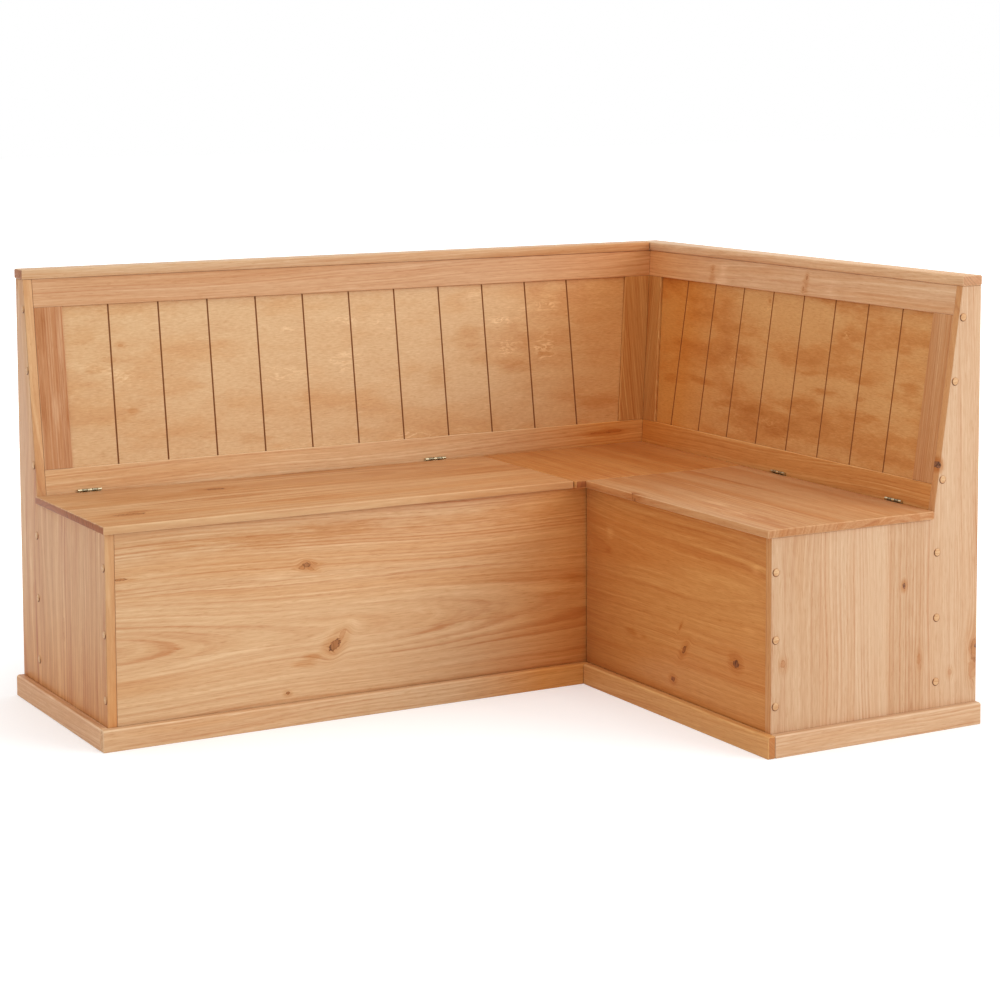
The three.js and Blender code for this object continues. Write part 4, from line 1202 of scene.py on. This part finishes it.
class BenchBackrests(bpy.types.Operator):
    """Make the backrest frames and their grooved panels"""

    bl_idname = "bench.backrests"
    bl_label = "Backrests"

    def execute(self, context):
        rail = PLAIN._replace(pith_depth=0.08, ring=0.0055, wander=0.04, contrast=0.5, end_darkness=0.6)
        stile = rail._replace(ring=0.0045, contrast=0.75)
        # The short wing lies in the inner corner: its boards take more amber, partly as painted bounce
        # light and shade, and the painted shade of both wings rises towards the corner
        wings = (("long", EAST, LONG_FACE, LONG_SLOPE, 0.0, 1.0),
                 ("short", SOUTH, SHORT_FACE, SHORT_SLOPE, 1.0, -1.0))
        for index, (wing, grain, face, slope, amber, rise) in enumerate(wings):
            seed = 50.0 + 10 * index
            board(f"top_rail_{wing}", f"{wing}_top_rail", "carcass", "pine_frame", grain, face,
                  rail._replace(seed=seed, warmth=0.2, amber=amber * 0.12, amber_rise=rise * 0.65,
                                joint_shade=0.2), FRAME_ARRIS)
            board(f"bottom_rail_{wing}", f"{wing}_bottom_rail", "carcass", "pine_frame", grain, face,
                  rail._replace(seed=seed + 1, warmth=0.1 + 0.45 * amber, amber=0.62 * amber,
                                amber_rise=rise * (1.15 - 0.75 * amber)), FRAME_ARRIS)
            board(f"outer_stile_{wing}", f"{wing}_outer_stile", "carcass", "pine_frame", slope, face,
                  stile._replace(seed=seed + 2, warmth=0.6, amber=amber * 0.5, streaks=1.2),
                  FRAME_ARRIS, JOINT_OVERLAP)
            board(f"corner_stile_{wing}", f"{wing}_corner_stile", "carcass", "pine_frame", slope, face,
                  stile._replace(seed=seed + 3, warmth=0.45, amber=0.62, streaks=1.9),
                  FRAME_ARRIS, JOINT_OVERLAP)
            self.panel(wing, grain, face, slope, PLAIN._replace(
                seed=seed + 4, amber=0.04 + 0.5 * amber, amber_rise=rise * 0.72, contrast=0.5, streaks=0.55,
                flames=1.0 + 0.75 * amber, fibre=(80, 420, 420)))
        return {"FINISHED"}

    def panel(self, wing, grain, face, slope, figure):
        """The sheet in its own directions, with its grooves cut, turned into place."""
        node = f"grooved_panel_{wing}"
        name = f"{wing}_grooved_panel"
        own = Matrix((grain, -face, slope)).transposed()
        sheet = [own.inverted() @ vertex.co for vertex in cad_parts[node].data.vertices]
        near, far = min(point.y for point in sheet), max(point.y for point in sheet)
        corners = []
        for height in (min(point.z for point in sheet), max(point.z for point in sheet)):
            for depth in (near, far):
                edge = [point.x for point in sheet
                        if abs(point.z - height) < WELD and abs(point.y - depth) < WELD]
                corners += [(min(edge), depth, height), (max(edge), depth, height)]
        sides = [(0, 1, 5, 4), (1, 3, 7, 5), (3, 2, 6, 7), (2, 0, 4, 6), (4, 5, 7, 6), (2, 3, 1, 0)]
        mesh = bpy.data.meshes.new(name)
        mesh.from_pydata(corners, [], sides)
        outer = corners[0][0] if wing == "long" else corners[1][0]
        pitch = sizes().groove_pitch if wing == "long" else -sizes().groove_pitch
        material = pine(name, middle_of(node), length_of(node, grain), grain, face, figure, veneer=True)
        piece = grown(added(name, mesh), shared_group("Grooved sheet", grooves_tree), {
            "Start": outer, "Pitch": pitch, "Count": getattr(sizes(), f"{wing}_grooves"),
            "Width": sizes().groove_width, "Depth": sizes().groove_depth, "Face": near,
            "Material": material})
        piece.data.transform(own.to_4x4())
        eased(piece, GROOVE_ARRIS, 2)
        settled(piece, "carcass", "grooved_veneer", node)


class BenchCaps(bpy.types.Operator):
    """Make the cap rails"""

    bl_idname = "bench.caps"
    bl_label = "Cap rails"

    def execute(self, context):
        rail = PLAIN._replace(pith_depth=0.1, ring=0.006, wander=0.04, contrast=0.3, edge_wear=0.35,
                              end_darkness=0.9, joint_shade=0.2)
        board("cap_rail_long", "long_cap_rail", "carcass", "pine_frame", EAST, SOUTH,
              rail._replace(seed=70.0, amber_rise=0.4), FRAME_ARRIS, sink=JOINT_OVERLAP)
        board("cap_rail_short", "short_cap_rail", "carcass", "pine_frame", SOUTH, WEST,
              rail._replace(seed=71.0, end_darkness=0.5, warmth=-0.3), FRAME_ARRIS, sink=JOINT_OVERLAP)
        return {"FINISHED"}


HINGE_PLACES = (("long", "outer"), ("long", "inner"), ("short", "outer"), ("short", "inner"))


class BenchHinges(bpy.types.Operator):
    """Roll the butt hinges: the fixed leaves with their pins, and the leaves of both lids"""

    bl_idname = "bench.hinges"
    bl_label = "Hinges"

    def execute(self, context):
        # The lid leaves are the same brass made darker: painted shade
        bright, shaded_brass = brass("hinge_brass", BRIGHT), brass("shaded_hinge_brass", LID_LEAF_SHADE)
        self.leaves("fixed_hinge_leaves", "carcass", "fixed", HINGE_PLACES, bright)
        self.leaves("long_lid_hinge_leaves", "long_lid", "lid", HINGE_PLACES[:2], shaded_brass)
        self.leaves("short_lid_hinge_leaves", "short_lid", "lid", HINGE_PLACES[2:], shaded_brass)
        return {"FINISHED"}

    def leaves(self, name, body, kind, places, metal):
        """The leaves of one kind that ride on one body, as one piece."""
        pin = sizes().pin_radius
        if kind == "fixed":
            lean, turn = -LEAN, 0.0
            values = {**FIXED_LEAF, "Pin": pin, "Bore": pin * FIXED_BORE_SHARE}
        else:
            lean, turn = 0.0, math.pi
            values = {**LID_LEAF, "Bore": pin * LID_BORE_SHARE}
        nodes = [f"hinge_leaf_{kind}_{wing}_{place}" for wing, place in places]
        points = [self.pin_middle(f"hinge_leaf_fixed_{wing}_{place}", wing) for wing, place in places]
        turns = [(lean, 0.0, turn if wing == "long" else turn - math.pi / 2) for wing, place in places]
        pins = added(name, placed(name, points, turning=turns))
        piece = grown(pins, shared_group("Hinge leaf", hinge_tree), {
            **values, "Length": sizes().hinge_length, "Knuckles": sizes().knuckles,
            "Radius": sizes().knuckle_radius, "Gap": sizes().knuckle_gap,
            "Thickness": sizes().leaf_thickness, "Screws": sizes().screws,
            "Screw Radius": sizes().screw_radius, "Material": metal})
        eased(piece, HINGE_ARRIS, 2)
        settled(piece, body, "hinge_metal", *nodes)

    def pin_middle(self, node, wing):
        """The middle of a hinge's pin, which lies a knuckle's radius in from the top and the front."""
        low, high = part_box(node)
        middle = (low + high) / 2
        middle.z = high.z - sizes().knuckle_radius
        if wing == "long":
            middle.y = low.y + sizes().knuckle_radius
        else:
            middle.x = low.x + sizes().knuckle_radius
        return middle


class BenchPlugs(bpy.types.Operator):
    """Turn the domed plugs and set one in each bore"""

    bl_idname = "bench.plugs"
    bl_label = "Plugs"

    def execute(self, context):
        nodes, points, faces = [], [], []
        for end, face in (("left", WEST), ("right", SOUTH)):
            for index in range(1, PLUGS_AN_END + 1):
                node = f"plug_{end}_{index}"
                middle = middle_of(node)
                if end == "left":
                    middle.x = END_LEFT
                else:
                    middle.y = END_RIGHT
                nodes.append(node)
                points.append(middle)
                faces.append(face)
        mesh = placed("screw_plugs", points, looking=faces, middle=points)
        piece = grown(added("screw_plugs", mesh), plugs_tree(), {
            "Radius": sizes().plug_radius, "Dome": sizes().plug_dome, "Depth": sizes().plug_depth,
            "Material": turned_pine()})
        piece.data.polygons.foreach_set("use_smooth", [True] * len(piece.data.polygons))
        settled(piece, "carcass", "pine_plug", *nodes)
        return {"FINISHED"}


# The room

CAMERA_PLACE = (-2.37619, -4.29722, 1.29007)
CAMERA_YAW = math.radians(29.295)
CAMERA_DIP = math.radians(5.361)
CAMERA_ROLL = math.radians(-0.227)
SENSOR_WIDTH = 36
LAMP_TARGET = Vector((0, 0, 0.45))
KEY_PLACE, KEY_SIZE = Vector((3.4, -4.6, 2.4)), (2.6, 2.0)
TOP_PLACE, TOP_SIZE = Vector((0, -0.6, 5.0)), (3.0, 3.0)
FLOOR_REACH = 30
FLOOR_SQUARES = 8
FLOOR_COLOUR = (0.86, 0.86, 0.86)
WHITE = (1.0, 1.0, 1.0)

# The floor's own white grows from where the bench's shadow lies to where the room begins
GLOW_START, GLOW_END = 0.9, 2.4
GLOW_NEAR = 0.3


def seen_share(wires):
    """1 for what is seen, straight or through gloss and glass, and 0 for what only lights the bench."""
    ray = wires.node("ShaderNodeLightPath")
    through = wires.maths("MAXIMUM", ray["Is Glossy Ray"], ray["Is Transmission Ray"])
    return wires.maths("MAXIMUM", ray["Is Camera Ray"], through)


class BenchRoom(bpy.types.Operator):
    """Set the camera, the lamps, the pale floor and the white room"""

    bl_idname = "bench.room"
    bl_label = "Room"

    def execute(self, context):
        stage = context.scene.bench_stage
        self.camera(context, stage)
        self.floor()
        self.room(context, stage.room_level)
        self.lamp("key", KEY_PLACE, KEY_SIZE, stage.key_power)
        self.lamp("top", TOP_PLACE, TOP_SIZE, stage.top_power)
        context.scene.view_settings.view_transform = "Standard"
        return {"FINISHED"}

    def camera(self, context, stage):
        ahead = Vector((math.sin(CAMERA_YAW), math.cos(CAMERA_YAW), 0))
        right = Vector((math.cos(CAMERA_YAW), -math.sin(CAMERA_YAW), 0))
        axis = ahead * math.cos(CAMERA_DIP) - UP * math.sin(CAMERA_DIP)
        level_up = UP * math.cos(CAMERA_DIP) + ahead * math.sin(CAMERA_DIP)
        side = right * math.cos(CAMERA_ROLL) + level_up * math.sin(CAMERA_ROLL)
        top = level_up * math.cos(CAMERA_ROLL) - right * math.sin(CAMERA_ROLL)
        data = bpy.data.cameras.new("camera")
        data.lens = stage.lens
        data.sensor_width = SENSOR_WIDTH
        data.shift_y = stage.frame_drop
        camera = added("camera", data)
        turn = Matrix((side, top, -axis)).transposed().to_4x4()
        camera.matrix_world = Matrix.Translation(CAMERA_PLACE) @ turn
        context.scene.camera = camera

    def lamp(self, name, place, size, power):
        data = bpy.data.lights.new(name, "AREA")
        data.shape = "RECTANGLE"
        data.size, data.size_y = size
        data.energy = power
        lamp = added(name, data)
        lamp.location = place
        lamp.rotation_euler = (LAMP_TARGET - place).to_track_quat("-Z", "Y").to_euler()

    def floor(self):
        made = bmesh.new()
        bmesh.ops.create_grid(made, x_segments=FLOOR_SQUARES, y_segments=FLOOR_SQUARES, size=FLOOR_REACH)
        mesh = bpy.data.meshes.new("floor")
        made.to_mesh(mesh)
        made.free()
        material, wires, _ = new_material("pale_floor")
        wires.tree.nodes.clear()
        matt = wires.node("ShaderNodeBsdfDiffuse", {"Color": FLOOR_COLOUR})
        place = wires.node("ShaderNodeTexCoord")["Object"]
        away = wires.node("ShaderNodeVectorMath", {0: place}, operation="LENGTH")["Value"]
        white = wires.span(away, GLOW_START, GLOW_END, GLOW_NEAR, 1.0)
        glow = wires.node("ShaderNodeEmission", {"Color": WHITE, "Strength": seen_share(wires) * white})
        both = wires.node("ShaderNodeAddShader", {0: matt[0], 1: glow[0]})
        wires.node("ShaderNodeOutputMaterial", {"Surface": both[0]})
        added("floor", mesh, material)

    def room(self, context, level):
        world = bpy.data.worlds.new("white_room")
        world.use_nodes = True
        context.scene.world = world
        wires = Wires(world.node_tree)
        wires.tree.nodes.clear()
        strength = seen_share(wires) * (1.0 - level) + level
        glow = wires.node("ShaderNodeBackground", {"Color": WHITE, "Strength": strength})
        wires.node("ShaderNodeOutputWorld", {"Surface": glow[0]})


class BenchSidebar(bpy.types.Panel):
    """The bench's settings and its steps"""

    bl_idname = "BENCH_PT_sidebar"
    bl_label = "Corner storage bench"
    bl_space_type = "VIEW_3D"
    bl_region_type = "UI"
    bl_category = "Bench"

    def draw(self, context):
        for name, kind in GROUPS:
            box = self.layout.box()
            for label in kind.__annotations__:
                box.prop(getattr(context.scene, name), label)
        for step in STEPS:
            self.layout.operator(step.bl_idname)


STEPS = (BenchEndPanels, BenchChests, BenchSkirting, BenchSeats, BenchBackrests, BenchCaps, BenchPlugs,
         BenchHinges, BenchRoom)


def register():
    for name, kind in GROUPS:
        bpy.utils.register_class(kind)
        setattr(bpy.types.Scene, name, bpy.props.PointerProperty(type=kind))
    for kind in (*STEPS, BenchSidebar):
        bpy.utils.register_class(kind)


def unregister():
    for kind in reversed((*STEPS, BenchSidebar)):
        bpy.utils.unregister_class(kind)
    for name, kind in reversed(GROUPS):
        delattr(bpy.types.Scene, name)
        bpy.utils.unregister_class(kind)


def main():
    register()
    for step in STEPS:
        namespace, name = step.bl_idname.split(".")
        getattr(getattr(bpy.ops, namespace), name)()


if __name__ == "__main__":
    main()
